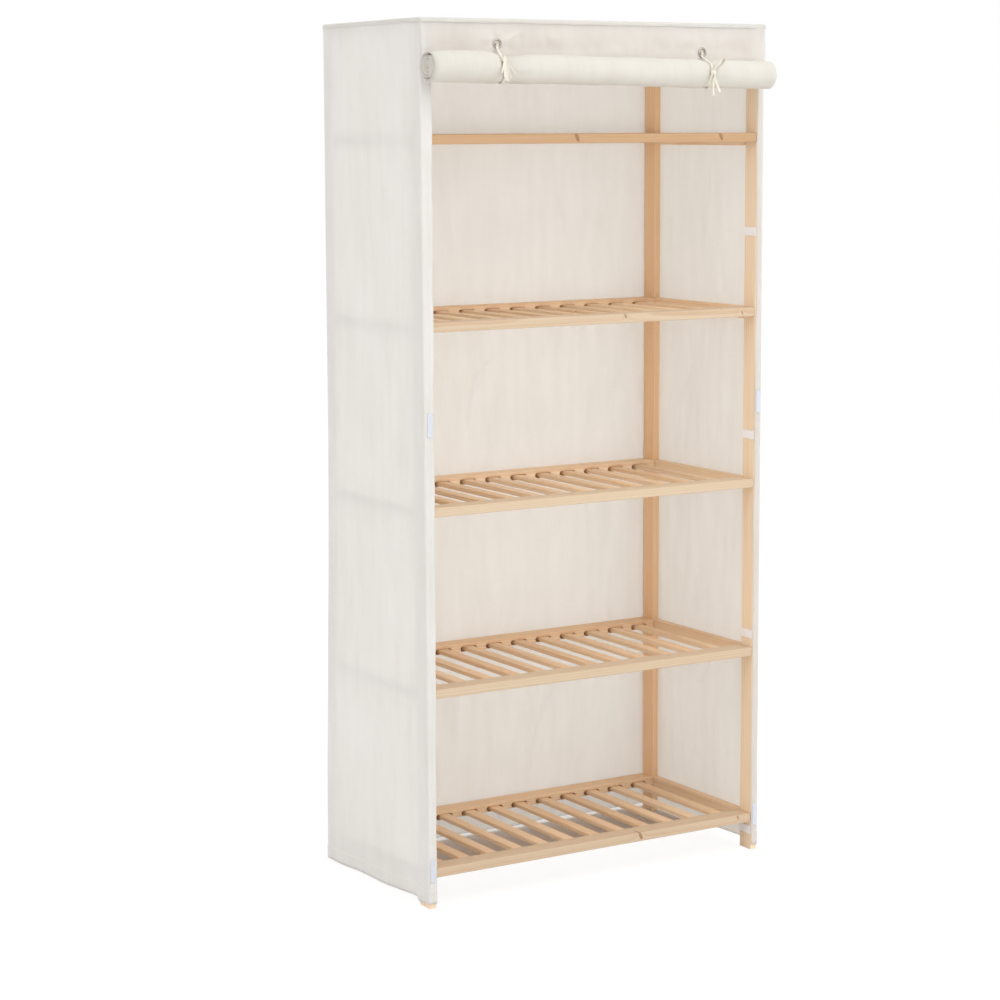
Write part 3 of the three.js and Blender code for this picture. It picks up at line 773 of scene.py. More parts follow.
cover = dict(
    halfWidth=0.395,
    front=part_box("cover_left")[0].y,
    back=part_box("cover_left")[1].y,
    top=1.7,
    hem=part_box("cover_left")[0].z,
    hemBack=0.004,  # the hem hangs low at the back, rises towards the front and drops over the front posts
    hemFront=0.0145,
    hemPost=0.0060,
    hemPostRise=0.005,  # more at the post's front
    hemStep=0.009,  # the length on which it drops
    hemHeight=0.026,
    hemEdge=0.0006,
    hemSeamDrop=0.0025,
    hemWave=0.0006,
    hemPucker=0.00022,
    puckerDrop=0.003,
    puckerReach=0.006,
    lean=0.008,  # how far the left side stands out at its top front corner
    hemLean=0.008,  # how far the hem stands out behind
    hemLeanTop=0.9,
    hemLeanReach=0.16,  # how much of a side, from the back, moves out with it
    hemRise=0.0007,
    clothThickness=0.0012,
    foldDepth=0.0036,
    foldLean=0.35,  # of a fold's width from one level to the next
    levelStep=0.3515,
    sideFoldCount=2.5,
    backFoldCount=5.5,
    slowSwell=0.0006,
    fineSwell=0.00034,
    crease=0.0008,
    wrinkled=dict(left=1.2, right=4.6, back=5.0),  # how much a panel has of the three above
    cornerRadius=0.0045,
    seamRise=0.0013,
    returnEdge=0.3781,
    doubledEnd=(0.0062, 0.0070),  # where the return's doubled edge ends, by its length in plan
    doubledRise=0.0005,
    edgeSway=0.0006,
    edgeReach=0.018,
    dent=0.0028,
    dentPlace=0.020,  # behind the front
    dentReach=0.010,
    dentHeight=(1.50, 1.62),  # where it starts and where it is full
    overlap=0.012,
    backHalfWidth=0.3931,
    postDepth=0.038,
    postGap=0.0020,  # between a post and the cloth before it
    rungHeight=0.025,
)
hemSeam = (cover["hemHeight"] - cover["hemSeamDrop"]) / (cover["top"] - cover["hem"])
rungTops = [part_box(f"rung_left_{level}")[1].z for level in range(1, 7)]


# How free the cloth is: 0 where a rung bears on it, 1 half way between two of them, and about a
# third at the hem
def bayShare(height):
    share = np.zeros_like(height)
    start = None
    for top in rungTops:
        bottom = top - cover["rungHeight"]
        if start is None:
            part = np.clip((bottom - height) / (bottom - cover["hem"]), 0, 1)
            share += np.where(height <= bottom, 0.35 * part, 0)
        else:
            inside = (height > start) & (height < bottom)
            part = np.clip((height - start) / (bottom - start), 0, 1)
            share += np.where(inside, np.sin(np.pi * part) ** 0.65, 0)
        start = top
    return share


# How far a hanging panel lies inside its flat place: soft upright folds that die out at the
# posts and at every rung, with finer creases that lean across them
def foldInset(along, openHalf, folds, height, seed, wrinkled):
    share = np.clip((along + openHalf) / (2 * openHalf), 0, 1)
    hold = np.sin(np.pi * share) ** 0.65
    lean = cover["foldLean"] * height / cover["levelStep"]
    wave = 0.55 + 0.45 * np.cos(2 * np.pi * (folds * share + lean))
    bay = bayShare(height)
    slow = softNoise(along, height, seed, 0.16, 0.42)
    fine = softNoise(along, height, seed + 1, 0.035, 0.15)
    crease = np.exp(-(softNoise(along, height, seed + 2, 0.10, 0.24) / 0.16) ** 2)
    crease *= smoothStep(softNoise(along, height, seed + 3, 0.2, 0.3), 0.1, 1.2)
    inset = cover["foldDepth"] * hold * bay * wave
    swell = cover["slowSwell"] * slow + cover["fineSwell"] * fine + cover["crease"] * crease
    return inset + wrinkled * hold * (0.25 + 0.75 * bay) * swell


# The plan of a side: from the inner edge of the front return, round the front corner, back along
# the side and round the rear corner on to the back, by its length from the start. Returns the
# place in plan, the outward normal and how far along the side it is.
def sidePlan(length):
    radius = cover["cornerRadius"]
    outer = cover["halfWidth"]
    back = cover["back"] + cover["seamRise"]
    depth = back - cover["front"]
    arc = radius * np.pi / 2
    front = outer - radius - cover["returnEdge"]
    lengths = np.cumsum([front, arc, depth - 2 * radius, arc, cover["overlap"]])
    x, y = np.zeros_like(length), np.zeros_like(length)
    nx, ny = np.zeros_like(length), np.zeros_like(length)
    on = length <= lengths[0]
    x[on], y[on], ny[on] = cover["returnEdge"] + length[on], cover["front"], -1
    on = (length > lengths[0]) & (length <= lengths[1])
    turn = (length[on] - lengths[0]) / radius
    x[on] = outer - radius + radius * np.sin(turn)
    y[on] = cover["front"] + radius - radius * np.cos(turn)
    nx[on], ny[on] = np.sin(turn), -np.cos(turn)
    on = (length > lengths[1]) & (length <= lengths[2])
    x[on], y[on], nx[on] = outer, cover["front"] + radius + length[on] - lengths[1], 1
    on = (length > lengths[2]) & (length <= lengths[3])
    turn = (length[on] - lengths[2]) / radius
    x[on] = outer - radius + radius * np.cos(turn)
    y[on] = back - radius + radius * np.sin(turn)
    nx[on], ny[on] = np.cos(turn), np.sin(turn)
    on = length > lengths[3]
    x[on], y[on], ny[on] = outer - radius - (length[on] - lengths[3]), back, 1
    return x, y, nx, ny, lengths


# From 1 at the floor to 0 where the loose hem has no more effect
def lowShare(height):
    return 1 - smoothStep(height, 0, cover["hemLeanTop"])


# How far the cloth stands out: at the left most at the top front corner, and on both sides a
# little at the loose hem behind
def sideLean(side, y, height):
    toBack = smoothStep(y, cover["front"], cover["back"])
    top = cover["lean"] * (1 - toBack) * (height / cover["top"]) ** 1.5 if side < 0 else 0
    return top + cover["hemLean"] * toBack * lowShare(height)


# The hem's doubled band, with puckers along its seam
def hemLift(height, bottom, along, seed):
    above = height - bottom
    band = 1 - smoothStep(above, cover["hemHeight"] - cover["hemEdge"], cover["hemHeight"] + cover["hemEdge"])
    pucker = cover["hemPucker"] * softNoise(along, height * 0.2, seed, 0.012, 0.5)
    near = np.exp(-((above - cover["hemHeight"] + cover["puckerDrop"]) / cover["puckerReach"]) ** 2)
    return cover["hemRise"] * band + pucker * near


# A side at a length along its plan and a share of its height. The hem drops over the front post,
# the return's free edge is doubled and waves a little, and at the left the cloth has a dent
# beside the roof's front corner.
def sideSurface(side, length, share):
    length, share = np.broadcast_arrays(np.asarray(length, float), np.asarray(share, float))
    x, y, nx, ny, lengths = sidePlan(length.copy())
    middleY = (cover["front"] + cover["back"]) / 2
    step = cover["front"] + cover["postDepth"]
    toBack = np.clip((y - step) / (cover["back"] - step), 0, 1)
    overPost = 1 - smoothStep(y, step, step + cover["hemStep"])
    bottom = cover["hemFront"] + (cover["hemBack"] - cover["hemFront"]) * toBack
    post = cover["hemPost"] + cover["hemPostRise"] * np.clip((step - y) / cover["postDepth"], 0, 1)
    bottom = bottom + (post - bottom) * overPost
    bottom = bottom + cover["hemWave"] * softNoise(length, share * 0, 41 + side, 0.09, 1)
    top = cover["top"] - cover["clothThickness"]
    height = bottom + (top - bottom) * share
    openHalf = (cover["back"] - cover["front"]) / 2 - cover["postGap"] - cover["postDepth"]
    wrinkled = cover["wrinkled"]["left" if side < 0 else "right"]
    inset = foldInset(y - middleY, openHalf, cover["sideFoldCount"], height, 200 + 7 * side, wrinkled)
    inset = inset * np.abs(nx)
    lift = hemLift(height, bottom, length, 300 + side)
    lift = lift + cover["doubledRise"] * (1 - smoothStep(length, *cover["doubledEnd"]))
    wave = softNoise(height, height * 0, 320 + side, 0.11, 1)
    sway = cover["edgeSway"] * wave * (1 - smoothStep(length, 0.0, cover["edgeReach"]))
    sway = sway + sideLean(side, y, height) * np.clip(length / lengths[0], 0, 1)
    nearBack = smoothStep(y, cover["back"] - cover["hemLeanReach"], cover["back"])
    behind = cover["hemLean"] * nearBack * lowShare(height)
    if side < 0:
        fromDent = y - cover["front"] - cover["dentPlace"]
        dent = np.exp(-(fromDent / cover["dentReach"]) ** 2) * smoothStep(height, *cover["dentHeight"])
        inset = inset + cover["dent"] * dent * np.abs(nx)
    return np.stack([(x + nx * (lift - inset) + sway) * side, y + ny * lift + behind, height], -1)


# The back at a place across it and a share of its height
def backSurface(x, share):
    x, share = np.broadcast_arrays(np.asarray(x, float), np.asarray(share, float))
    bottom = cover["hemBack"] + 0.002 + cover["hemWave"] * softNoise(x, share * 0, 45, 0.1, 1)
    height = bottom + (cover["top"] - cover["clothThickness"] - bottom) * share
    wrinkled = cover["wrinkled"]["back"]
    inset = foldInset(x, shelf["openHalfWidth"], cover["backFoldCount"], height, 230, wrinkled)
    lift = hemLift(height, bottom, x, 305)
    behind = cover["hemLean"] * lowShare(height)
    return np.stack([x, cover["back"] + lift - inset + behind, height], -1)


# Turns a surface into a panel of the cover: its points on a grid, its measure across and up as its
# map, and a real thickness
def clothPanel(name, surface, across, up, finish, nodes, outward):
    points = surface(across[None, :], up[:, None])
    height = cover["hem"] + (cover["top"] - cover["hem"]) * up
    flat = np.stack(np.broadcast_arrays(across[None, :], height[:, None]), -1)
    faces = gridFaces(len(up), len(across))
    if outward < 0:
        faces = faces[:, ::-1]
    made = addMesh(name, points, faces.tolist(), finishes[finish], flat)
    thicken(made, cover["clothThickness"])
    return settle(made, nodes)


stitch = dict(length=0.0027, pitch=0.0038, radius=0.00028, endRadius=0.35, sink=0.00008, sides=5)


# Stitches along a line on a surface: each is a short spindle of three rings, its middle on the
# line and its ends drawn in, laid along the line
def stitchParts(line, normals):
    line, normals = np.asarray(line), np.asarray(normals)
    step = np.linalg.norm(np.diff(line, axis=0), axis=1)
    measure = np.concatenate([[0], np.cumsum(step)])
    count = int(measure[-1] / stitch["pitch"])
    at = (np.arange(count) + 0.5) * stitch["pitch"]

    def sample(values, places):
        return np.stack([np.interp(places, measure, values[:, axis]) for axis in range(3)], -1)

    middle = sample(line, at)
    ahead = sample(line, at + stitch["length"] / 2) - sample(line, at - stitch["length"] / 2)
    ahead /= np.linalg.norm(ahead, axis=1, keepdims=True)
    normal = sample(normals, at)
    normal /= np.linalg.norm(normal, axis=1, keepdims=True)
    side = np.cross(ahead, normal)
    ends = stitch["endRadius"]
    stations = (np.array([-0.5, 0.0, 0.5]) * stitch["length"])[None, :, None, None]
    radii = (np.array([ends, 1.0, ends]) * stitch["radius"])[None, :, None, None]
    rise = (stitch["sink"] - np.array([1.0, 0.0, 1.0]) * stitch["radius"])[None, :, None, None]
    sides = stitch["sides"]
    angle = np.radians(np.arange(sides) * 360 / sides)[None, None, :, None]
    middle, ahead, normal, side = (value[:, None, None] for value in (middle, ahead, normal, side))
    outline = (normal * np.sin(angle) + side * np.cos(angle)) * radii
    points = middle + ahead * stations + outline + normal * rise
    starts = np.arange(count)[:, None] * 3 * sides
    quads = (gridFaces(3, sides, wrapColumns=True)[None] + starts[:, :, None]).reshape(-1, 4).tolist()
    ring = np.arange(sides)
    caps = (starts + ring[::-1]).tolist() + (starts + 2 * sides + ring).tolist()
    return points.reshape(-1, 3), quads + caps


# A line on a cloth surface and its normals there, from small steps to both sides
def surfaceLine(surface, across, up, outward):
    small = 1e-4
    line = surface(across, up)
    du = surface(across + small, up) - surface(across - small, up)
    dv = surface(across, up + small) - surface(across, up - small)
    normals = np.cross(du, dv) * outward
    normals /= np.linalg.norm(normals, axis=1, keepdims=True)
    return line, normals


# The rows of a panel are close together at the upper edge of its hem
hemRows = (0, 0.013, 4), (0.0145, 0.0165, 4)


# Both sides with their returns. Each has seams along its free edge, both sides of the front corner
# and twice behind, and one along the hem.
def makeSides():
    up = steps(*hemRows, (0.021, 0.985, 196), (0.989, 1, 4))
    lengths = sidePlan(np.zeros(1))[4]
    stretches = zip(lengths[:-1], lengths[1:], (6, 66, 6, 4))
    length = steps((0, 0.0060, 3), (0.0066, 0.0072, 2), (0.011, lengths[0], 3), *stretches)
    seams = (0.0050, lengths[0] - 0.0025, lengths[1] + 0.0025, lengths[3] + 0.003, lengths[3] + 0.0095)
    full = np.linspace(0.001, 0.997, 900)
    run = np.linspace(0.002, lengths[4] - 0.002, 500)
    lines = []
    for side, across, finish in ((-1, "left", "left"), (1, "right", "canvas")):
        surface = functools.partial(sideSurface, side)
        nodes = [f"cover_{across}", f"front_return_{across}"]
        made = clothPanel(f"canvas_{across}", surface, length, up, finish, nodes, side)
        lines += [surfaceLine(surface, np.full(len(full), at), full, side) for at in seams]
        lines.append(surfaceLine(surface, run, np.full(len(run), hemSeam), side))
    return lines


def makeBack():
    up = steps(*hemRows, (0.021, 1, 198))
    x = np.linspace(-cover["backHalfWidth"], cover["backHalfWidth"], 118)
    made = clothPanel("canvas_back", backSurface, x, up, "canvas", ["cover_back"], -1)
    run = np.linspace(-0.38, 0.38, 700)
    return [surfaceLine(backSurface, run, np.full(len(run), hemSeam), -1)]


roof = dict(
    perimeterSteps=66,
    cornerSteps=7,
    topRings=26,
    planRadius=0.006,
    edgeRadius=0.0045,
    skirt=0.009,
    skirtWave=0.0004,
    seam=0.0022,  # above the skirt's lower edge
    sag=0.005,
    crease=0.0003,
    frameDepth=0.044,  # a top rail and its room, which hold the cloth up
)


# The roof's plan, a rectangle with round corners, which follows the left side's lean
def roofOutline():
    low = np.array([-cover["halfWidth"] - cover["seamRise"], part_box("door_header")[0].y - cover["seamRise"]])
    high = np.array([cover["halfWidth"] + cover["seamRise"], cover["back"] + 2 * cover["seamRise"]])
    radius = roof["planRadius"]
    points, normals = [], []
    left, right = low[0] + radius, high[0] - radius
    front, back = low[1] + radius, high[1] - radius
    corners = [(right, back, 0), (left, back, 90), (left, front, 180), (right, front, 270)]
    for place, (x, y, turn) in enumerate(corners):
        angle = np.radians(turn + np.linspace(0, 90, roof["cornerSteps"]))
        normal = np.stack([np.cos(angle), np.sin(angle)], -1)
        arc = np.array([x, y]) + radius * normal
        nextX, nextY, nextTurn = corners[(place + 1) % 4]
        nextTurn = np.radians(nextTurn)
        follow = np.array([nextX, nextY]) + radius * np.array([np.cos(nextTurn), np.sin(nextTurn)])
        count = roof["perimeterSteps"] if abs(follow[0] - arc[-1][0]) > 0.5 else roof["perimeterSteps"] // 2
        share = np.linspace(0, 1, count + 1)[1:-1, None]
        points += [arc, arc[-1] + (follow - arc[-1]) * share]
        normals += [normal, np.repeat(normal[-1:], count - 1, 0)]
    points, normals = np.concatenate(points), np.concatenate(normals)
    toLeft = np.clip(-points[:, 0] / cover["halfWidth"], 0, 1)
    points[:, 0] -= sideLean(-1, points[:, 1], np.full(len(points), cover["top"])) * toLeft
    return points, normals


# How much of the sag a place has by its distance from the middle: all of it there, none at the frame
def sagShare(distance, reach):
    return np.maximum(0, np.cos(np.pi / 2 * np.clip(distance / reach, -1, 1))) ** 0.65


# The roof is a lid: its plan goes up its skirt, then is drawn in round its edge and on to the
# middle, and the sag of the free cloth comes in
def makeRoof():
    outline, normals = roofOutline()
    middle = (outline.max(0) + outline.min(0)) / 2
    edge, top, skirt = roof["edgeRadius"], cover["top"], roof["skirt"]
    rings, flats = [], []

    def addRing(ring, height, flat):
        rings.append(np.concatenate([ring, np.broadcast_to(height, len(ring))[:, None]], 1))
        flats.append(flat)

    wave = roof["skirtWave"] * softNoise(outline[:, 0], outline[:, 1], 71, 0.07, 0.07)[:, None]
    for drop in np.linspace(skirt, edge, 5):
        share = (drop - edge) / (skirt - edge)
        flat = outline + normals * (drop - edge + edge * np.pi / 2)
        addRing(outline + normals * wave * share, top - drop, flat)
    for turn in np.radians([15, 30, 45, 60, 75]):
        ring = outline - normals * edge * (1 - np.cos(turn))
        addRing(ring, top - edge * (1 - np.sin(turn)), outline + normals * edge * (np.pi / 2 - turn))
    inner = outline - normals * edge
    openY = (cover["back"] - cover["front"]) / 2 - roof["frameDepth"]
    centreY = (cover["front"] + cover["back"]) / 2
    for share in np.linspace(0, 1, roof["topRings"]) ** 0.9:
        ring = inner + (middle - inner) * share * 0.999
        x, y = ring.T
        hold = sagShare(x, shelf["openHalfWidth"]) * sagShare(y - centreY, openY)
        sag = roof["sag"] * hold * (1 + 0.12 * softNoise(x, y, 73, 0.12, 0.09))
        crease = roof["crease"] * (softNoise(x, y, 74, 0.05, 0.03) - 1)
        addRing(ring, top - sag + np.minimum(0, crease) * (hold > 0), ring)
    points = np.array(rings)
    faces = gridFaces(len(rings), len(outline), wrapColumns=True).tolist()
    last = (len(rings) - 1) * len(outline)
    faces.append([last + corner for corner in range(len(outline))])
    made = addMesh("canvas_roof", points, faces, finishes["canvas"], np.array(flats))
    thicken(made, cover["clothThickness"])
    settle(made, ["cover_roof", "roof_piping"])
    outline, normals = np.concatenate([outline, outline[:1]]), np.concatenate([normals, normals[:1]])
    seam = np.full((len(outline), 1), top - skirt + roof["seam"])
    return [(np.concatenate([outline, seam], 1), np.concatenate([normals, seam * 0], 1))]


lines = makeSides() + makeBack() + makeRoof()
points, faces = joinedParts([stitchParts(*line) for line in lines])
stitches = addMesh("cover_stitches", points, faces, finishes["thread"])
settle(stitches)
print("cover made, with", len(points) // (3 * stitch["sides"]), "stitches")


# Door flap

flap = dict(
    outer=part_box("door_header")[0].y,
    top=1.6975,
    panelTop=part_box("door_panel")[1].z,
    left=-0.4025,
    right=0.3915,
    thickness=0.0012,
    holeRadius=0.0074,
    unrolled=1.555,
    foldDepth=0.0030,
    foldStep=0.17,
    foldEnd=0.372,
    ripple=0.0009,
    fineRipple=0.0003,
    pull=0.0008,  # wrinkles round an eyelet
    pullRing=(0.020, 0.016),  # how far out they are, and over what width
    ridge=0.0011,  # a long wrinkle from an eyelet
    ridgeSlope=0.42,
    ridgeWidth=0.0045,
    slant=0.0020,  # a wrinkle at the right end
    slantPlace=(0.358, 1.664),
    slantSlope=0.75,
    slantWidth=0.009,
    swing=0.0028,  # how far the free ends swing out
)
# The middle of the roll falls to the right, and the roll is fullest near its left end
roll = dict(
    left=-0.4055,
    right=0.3880,
    height=1.6035,
    fall=0.0145,
    swellPlace=-0.295,
    swellReach=0.09,
    swellHeight=0.0014,
    swellRadius=0.0036,
    radius=0.0284,
    coreRadius=0.0032,
    turns=14.8,
    pitch=0.00171,
    thickness=0.0016,
    measureFrom=1.65,  # how far down the cloth the roll takes it up
    points=(38, 14),  # on the first turn and on the last whole one
    fromFlap=0.0016,
    slack=0.00016,
    endSlack=0.0003,
    oval=0.012,
    ripple=0.0005,
    fineRipple=0.0002,
    stagger=0.0022,  # how unevenly the turns end at the sides
    gather=(0.055, 0.036),  # wide and narrow gathers under a tie, as shares of the radius
)
# pinch is how much of its radius the roll loses under a tie, reach how far to the left and right
ties = dict(
    left=dict(pinch=0.26, reach=(0.016, 0.036), knotX=-0.250, knotTurn=44),
    right=dict(pinch=0.13, reach=(0.015, 0.018), knotX=0.2245, knotTurn=10),
)
for across, look in ties.items():
    low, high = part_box(f"eyelet_{across}")
    look["x"], look["z"] = (low.x + high.x) / 2, (low.z + high.z) / 2


def rollSwell(x):
    return np.exp(-((x - roll["swellPlace"]) / roll["swellReach"]) ** 2)


def rollRadius(x):
    return roll["radius"] + roll["swellRadius"] * rollSwell(x)


# How far a place is from a tie, in shares of the tie's reach
def fromTie(x, look):
    away = x - 0.4 * look["x"] - 0.6 * look["knotX"]
    return away / np.where(away < 0, look["reach"][0], look["reach"][1])


def rollPinch(x):
    return sum(look["pinch"] * np.exp(-np.abs(fromTie(x, look)) ** 1.6) for look in ties.values())


# A tie draws the roll in mostly from above, so its middle drops there
def rollMiddle(x):
    straight = roll["height"] - roll["fall"] * x
    return straight + roll["swellHeight"] * rollSwell(x) - 0.7 * rollPinch(x) * rollRadius(x)


# A point on the roll's outer turn by its turn up from the front, lifted off by a little
def rollPlace(turn, lift, x):
    radius = rollRadius(x) * (1 - rollPinch(x))
    reach, turn = radius + 0.0012 + lift, np.radians(turn)
    y = flap["outer"] + roll["fromFlap"] - radius - reach * np.cos(turn)
    return x, y, rollMiddle(x) + reach * np.sin(turn)


# Upright folds of uneven width, which die out at the ends
def flapFold(x):
    folds = 0.5 + 0.5 * np.cos(2 * np.pi * (x / flap["foldStep"] + 0.16 * np.sin(x * 9)))
    edge = smoothStep(flap["foldEnd"] - np.abs(x), 0.0, 0.05)
    return flap["foldDepth"] * folds * edge


# The flap above the roll: ripples and pull wrinkles on the header, then folds that depend on x alone where it
# comes down to the roll, so that they stay upright however far that part is drawn down as the door unrolls
def flapSurface(x, z):
    x, z = np.broadcast_arrays(np.asarray(x, float), np.asarray(z, float))
    free = smoothStep(flap["top"] - z, 0.004, 0.05)
    down = smoothStep(flap["top"] - z, 0.02, 0.058)
    still = smoothStep(z, flap["panelTop"], flap["panelTop"] + 0.024)
    inward = down * flapFold(x)
    ripple = flap["ripple"] * softNoise(x, z, 81, 0.09, 0.05)
    ripple = (ripple + flap["fineRipple"] * softNoise(x, z, 82, 0.02, 0.03)) * free * still
    for side, look in zip((-1, 1), ties.values()):
        acrossX, up = x - look["x"], z - look["z"]
        away = np.hypot(acrossX, up)
        turn = np.arctan2(up, acrossX)
        ring, width = flap["pullRing"]
        pull = np.exp(-((away - ring) / width) ** 2) * np.cos(turn * 5 + side)
        flat = smoothStep(away, 0.009, 0.02)
        # The long wrinkle runs from the eyelet up and away to the right
        ridge = np.exp(-((up - acrossX * flap["ridgeSlope"]) / flap["ridgeWidth"]) ** 2)
        ridge = ridge * smoothStep(acrossX, 0.008, 0.02) * (1 - smoothStep(acrossX, 0.035, 0.075))
        ripple = (ripple + flap["pull"] * pull * still + flap["ridge"] * ridge * still) * flat
        inward = inward * flat
    slantX, slantZ = flap["slantPlace"]
    fromSlant = (x - slantX) - (z - slantZ) * flap["slantSlope"]
    slant = np.exp(-(fromSlant / flap["slantWidth"]) ** 2) * smoothStep(z, 1.638, 1.652)
    swing = smoothStep(np.abs(x), 0.355, 0.395) * down
    outward = flap["slant"] * slant * still + flap["swing"] * swing
    return np.stack([x, flap["outer"] + inward - ripple - outward, z], -1)


# The flap has its eyelets' holes cut out, and its map gives the part below panelTop the length that the door
# has unrolled
def makeFlap():
    near = np.linspace(-0.020, 0.020, 21)
    parts = [np.linspace(flap["left"], flap["right"], 150)] + [near + look["x"] for look in ties.values()]
    x = sparePlaces(parts, 5, 0.0008)
    z = np.concatenate([
        np.linspace(flap["top"], flap["panelTop"], 34),
        np.linspace(flap["panelTop"], roll["height"], 34)[1:],
    ])
    points = flapSurface(x[None, :], z[:, None])
    weight = smoothStep(flap["panelTop"] - z, 0, flap["panelTop"] - roll["height"])
    measure = flap["top"] - z + weight * flap["unrolled"]
    cloth = np.stack(np.broadcast_arrays(x[None, :], -measure[:, None]), -1)
    faces = gridFaces(len(z), len(x))
    centre = points.reshape(-1, 3)[faces].mean(1)
    for look in ties.values():
        away = np.hypot(centre[:, 0] - look["x"], centre[:, 2] - look["z"])
        faces, centre = faces[away > flap["holeRadius"]], centre[away > flap["holeRadius"]]
    made = addMesh("canvas_flap", points, faces[:, ::-1].tolist(), finishes["canvas"], cloth)
    loose = bmesh.new()
    loose.from_mesh(made.data)
    bmesh.ops.delete(loose, geom=[vert for vert in loose.verts if not vert.link_faces], context="VERTS")
    loose.to_mesh(made.data)
    loose.free()
    thicken(made, flap["thickness"])
    settle(made, ["door_header", "door_panel"], None)
    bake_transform(made)


# The roll is one spiral of cloth: from the back, where the flap comes down, it winds under,
# forwards and up. Its radius falls evenly with the turn, swells and slackens a little from turn
# to turn, and is drawn in under each tie, with the roll's back kept against the flap. At the two
# ends the inner turns lie flatter than the outer two, which leaves a dark gap above and below them.
def makeRoll():
    whole = int(roll["turns"])
    counts = np.round(np.linspace(*roll["points"], whole)).astype(int).tolist() + [12]
    angle = [0.0]
    for turn, count in enumerate(counts):
        share = 1.0 if turn < whole else roll["turns"] - whole
        angle += (2 * np.pi * (turn + share * np.arange(1, count + 1) / count)).tolist()
    angle = np.array(angle)
    left, right = roll["left"], roll["right"]
    parts = [
        np.linspace(left, left + 0.006, 4),
        np.linspace(left + 0.012, right - 0.012, 92),
        np.linspace(right - 0.006, right, 4),
    ]
    parts += [np.linspace(-0.034, 0.034, 19) + look["x"] for look in ties.values()]
    x = sparePlaces(parts, 4, 0.0021)
    a, along = angle[None, :], x[:, None]
    turns = a / (2 * np.pi)
    full = rollRadius(along)
    shrink = (full - roll["coreRadius"]) / (roll["turns"] * roll["pitch"])
    radius = full - roll["pitch"] * shrink * turns
    loose = np.exp(-((along - left) / 0.05) ** 2) + 0.7 * np.exp(-((along - right) / 0.04) ** 2)
    slack = softNoise(a * 0.5, along, 91, 2.4, 0.5)
    radius = radius + slack * (roll["slack"] + roll["endSlack"] * loose) * np.clip(turns / 0.5, 0, 1)
    oval = 1 + roll["oval"] * np.cos(2 * a + 0.6 + 2 * along)
    outer = np.clip(1 - turns / 3, 0, 1)
    pinch = rollPinch(along)
    gather = np.zeros_like(a * along)
    wide, narrow = roll["gather"]
    for side, look in zip((-1, 1), ties.values()):
        fan = np.exp(-(fromTie(along, look) / 1.6) ** 2)
        gather = gather + fan * (wide * np.cos(7 * a + 3 * side) + narrow * np.cos(12 * a + 1))
    ripple = roll["ripple"] * softNoise(along, a, 93, 0.10, 2.2)
    ripple = ripple + roll["fineRipple"] * softNoise(along, a, 94, 0.03, 1.0)
    radius = (radius * oval + ripple) * (1 + gather * outer * 0.6) * (1 - pinch)
    centreY = flap["outer"] + roll["fromFlap"] - full * (1 - pinch)
    inner = smoothStep(turns, 1.7, 2.6) * np.clip(loose, 0, 1)
    stagger = roll["stagger"] * softNoise(turns, turns * 0, 95, 1.6, 1.0)
    middle = (left + right) / 2
    ends = smoothStep(np.abs(along - middle), 0.36, 0.396) * np.sign(along - middle)
    points = np.stack(np.broadcast_arrays(
        along + ends * np.minimum(0.0, stagger - 0.0005) * 1.4,
        centreY + radius * np.cos(a) * (1 - 0.03 * inner) + 0.0006 * inner,
        rollMiddle(along) - radius * np.sin(a) * (1 - 0.13 * inner) - 0.0008 * inner,
    ), -1)
    lengths = (roll["radius"] - roll["pitch"] * (angle[1:] / (2 * np.pi))) * np.diff(angle)
    measure = np.concatenate([[0], np.cumsum(lengths)])
    cloth = np.stack(np.broadcast_arrays(x[:, None], -roll["measureFrom"] - measure[None, :]), -1)
    faces = gridFaces(len(x), len(angle))
    made = addMesh("canvas_roll", points, faces[:, ::-1].tolist(), finishes["rolled"], cloth)
    thicken(made, roll["thickness"])
    settle(made, ["door_roll"], "door_roll")
    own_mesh(made)
    print("roll made:", len(faces) * 4, "triangles with its back, length", round(float(measure[-1]), 3))


makeFlap()
makeRoll()
print("flap made")


# Eyelets, ties, straps and patches

# gap is how far the metal stands off the cloth
eyelet = dict(radius=0.010, bore=0.0062, flange=0.0016, washer=0.0008, gap=0.0003, segments=56)


# A closed profile of radius and depth turned about the eyelet's axis, which points forwards
def turnedPart(profile, x, z, segments):
    profile = np.asarray(profile, float)
    turn = 2 * np.pi * np.arange(segments) / segments
    points = np.stack(np.broadcast_arrays(
        x + profile[None, :, 0] * np.cos(turn)[:, None],
        np.broadcast_to(profile[None, :, 1], (segments, len(profile))),
        z + profile[None, :, 0] * np.sin(turn)[:, None],
    ), -1)
    return points, gridFaces(segments, len(profile), wrapColumns=True, wrapRows=True).tolist()


# The flange is a half round crown with a barrel through the hole, and the washer behind is flat
def makeEyelets():
    front = flap["outer"] - eyelet["gap"]
    inside = flap["outer"] + flap["thickness"] + eyelet["gap"]
    rim, bore, washer = eyelet["radius"], eyelet["bore"], eyelet["washer"]
    turn = np.radians(np.linspace(0, 180, 13))
    across = (rim + bore) / 2 + (rim - bore) / 2 * np.cos(turn)
    crown = np.stack([across, front - eyelet["flange"] * np.sin(turn) ** 0.8], -1)
    behind = inside + washer + 0.0002
    barrel = [(bore, behind), (bore + 0.0006, behind), (bore + 0.0006, front)]
    eyeletProfile = np.concatenate([crown, barrel])
    hole = bore + 0.0009
    washerProfile = [
        (rim, inside + 0.0001), (rim, inside + washer - 0.0002), (rim - 0.0003, inside + washer),
        (hole + 0.0003, inside + washer), (hole, inside + washer - 0.0002), (hole, inside + 0.0001),
    ]
    for across, look in ties.items():
        for kind, profile in (("eyelet", eyeletProfile), ("eyelet_washer", washerProfile)):
            part = turnedPart(profile, look["x"], look["z"], eyelet["segments"])
            made = addMesh(f"nickel_{kind}_{across}", *part, finishes["nickel"])
            settle(closedSolid(made, 50), [f"{kind}_{across}"])


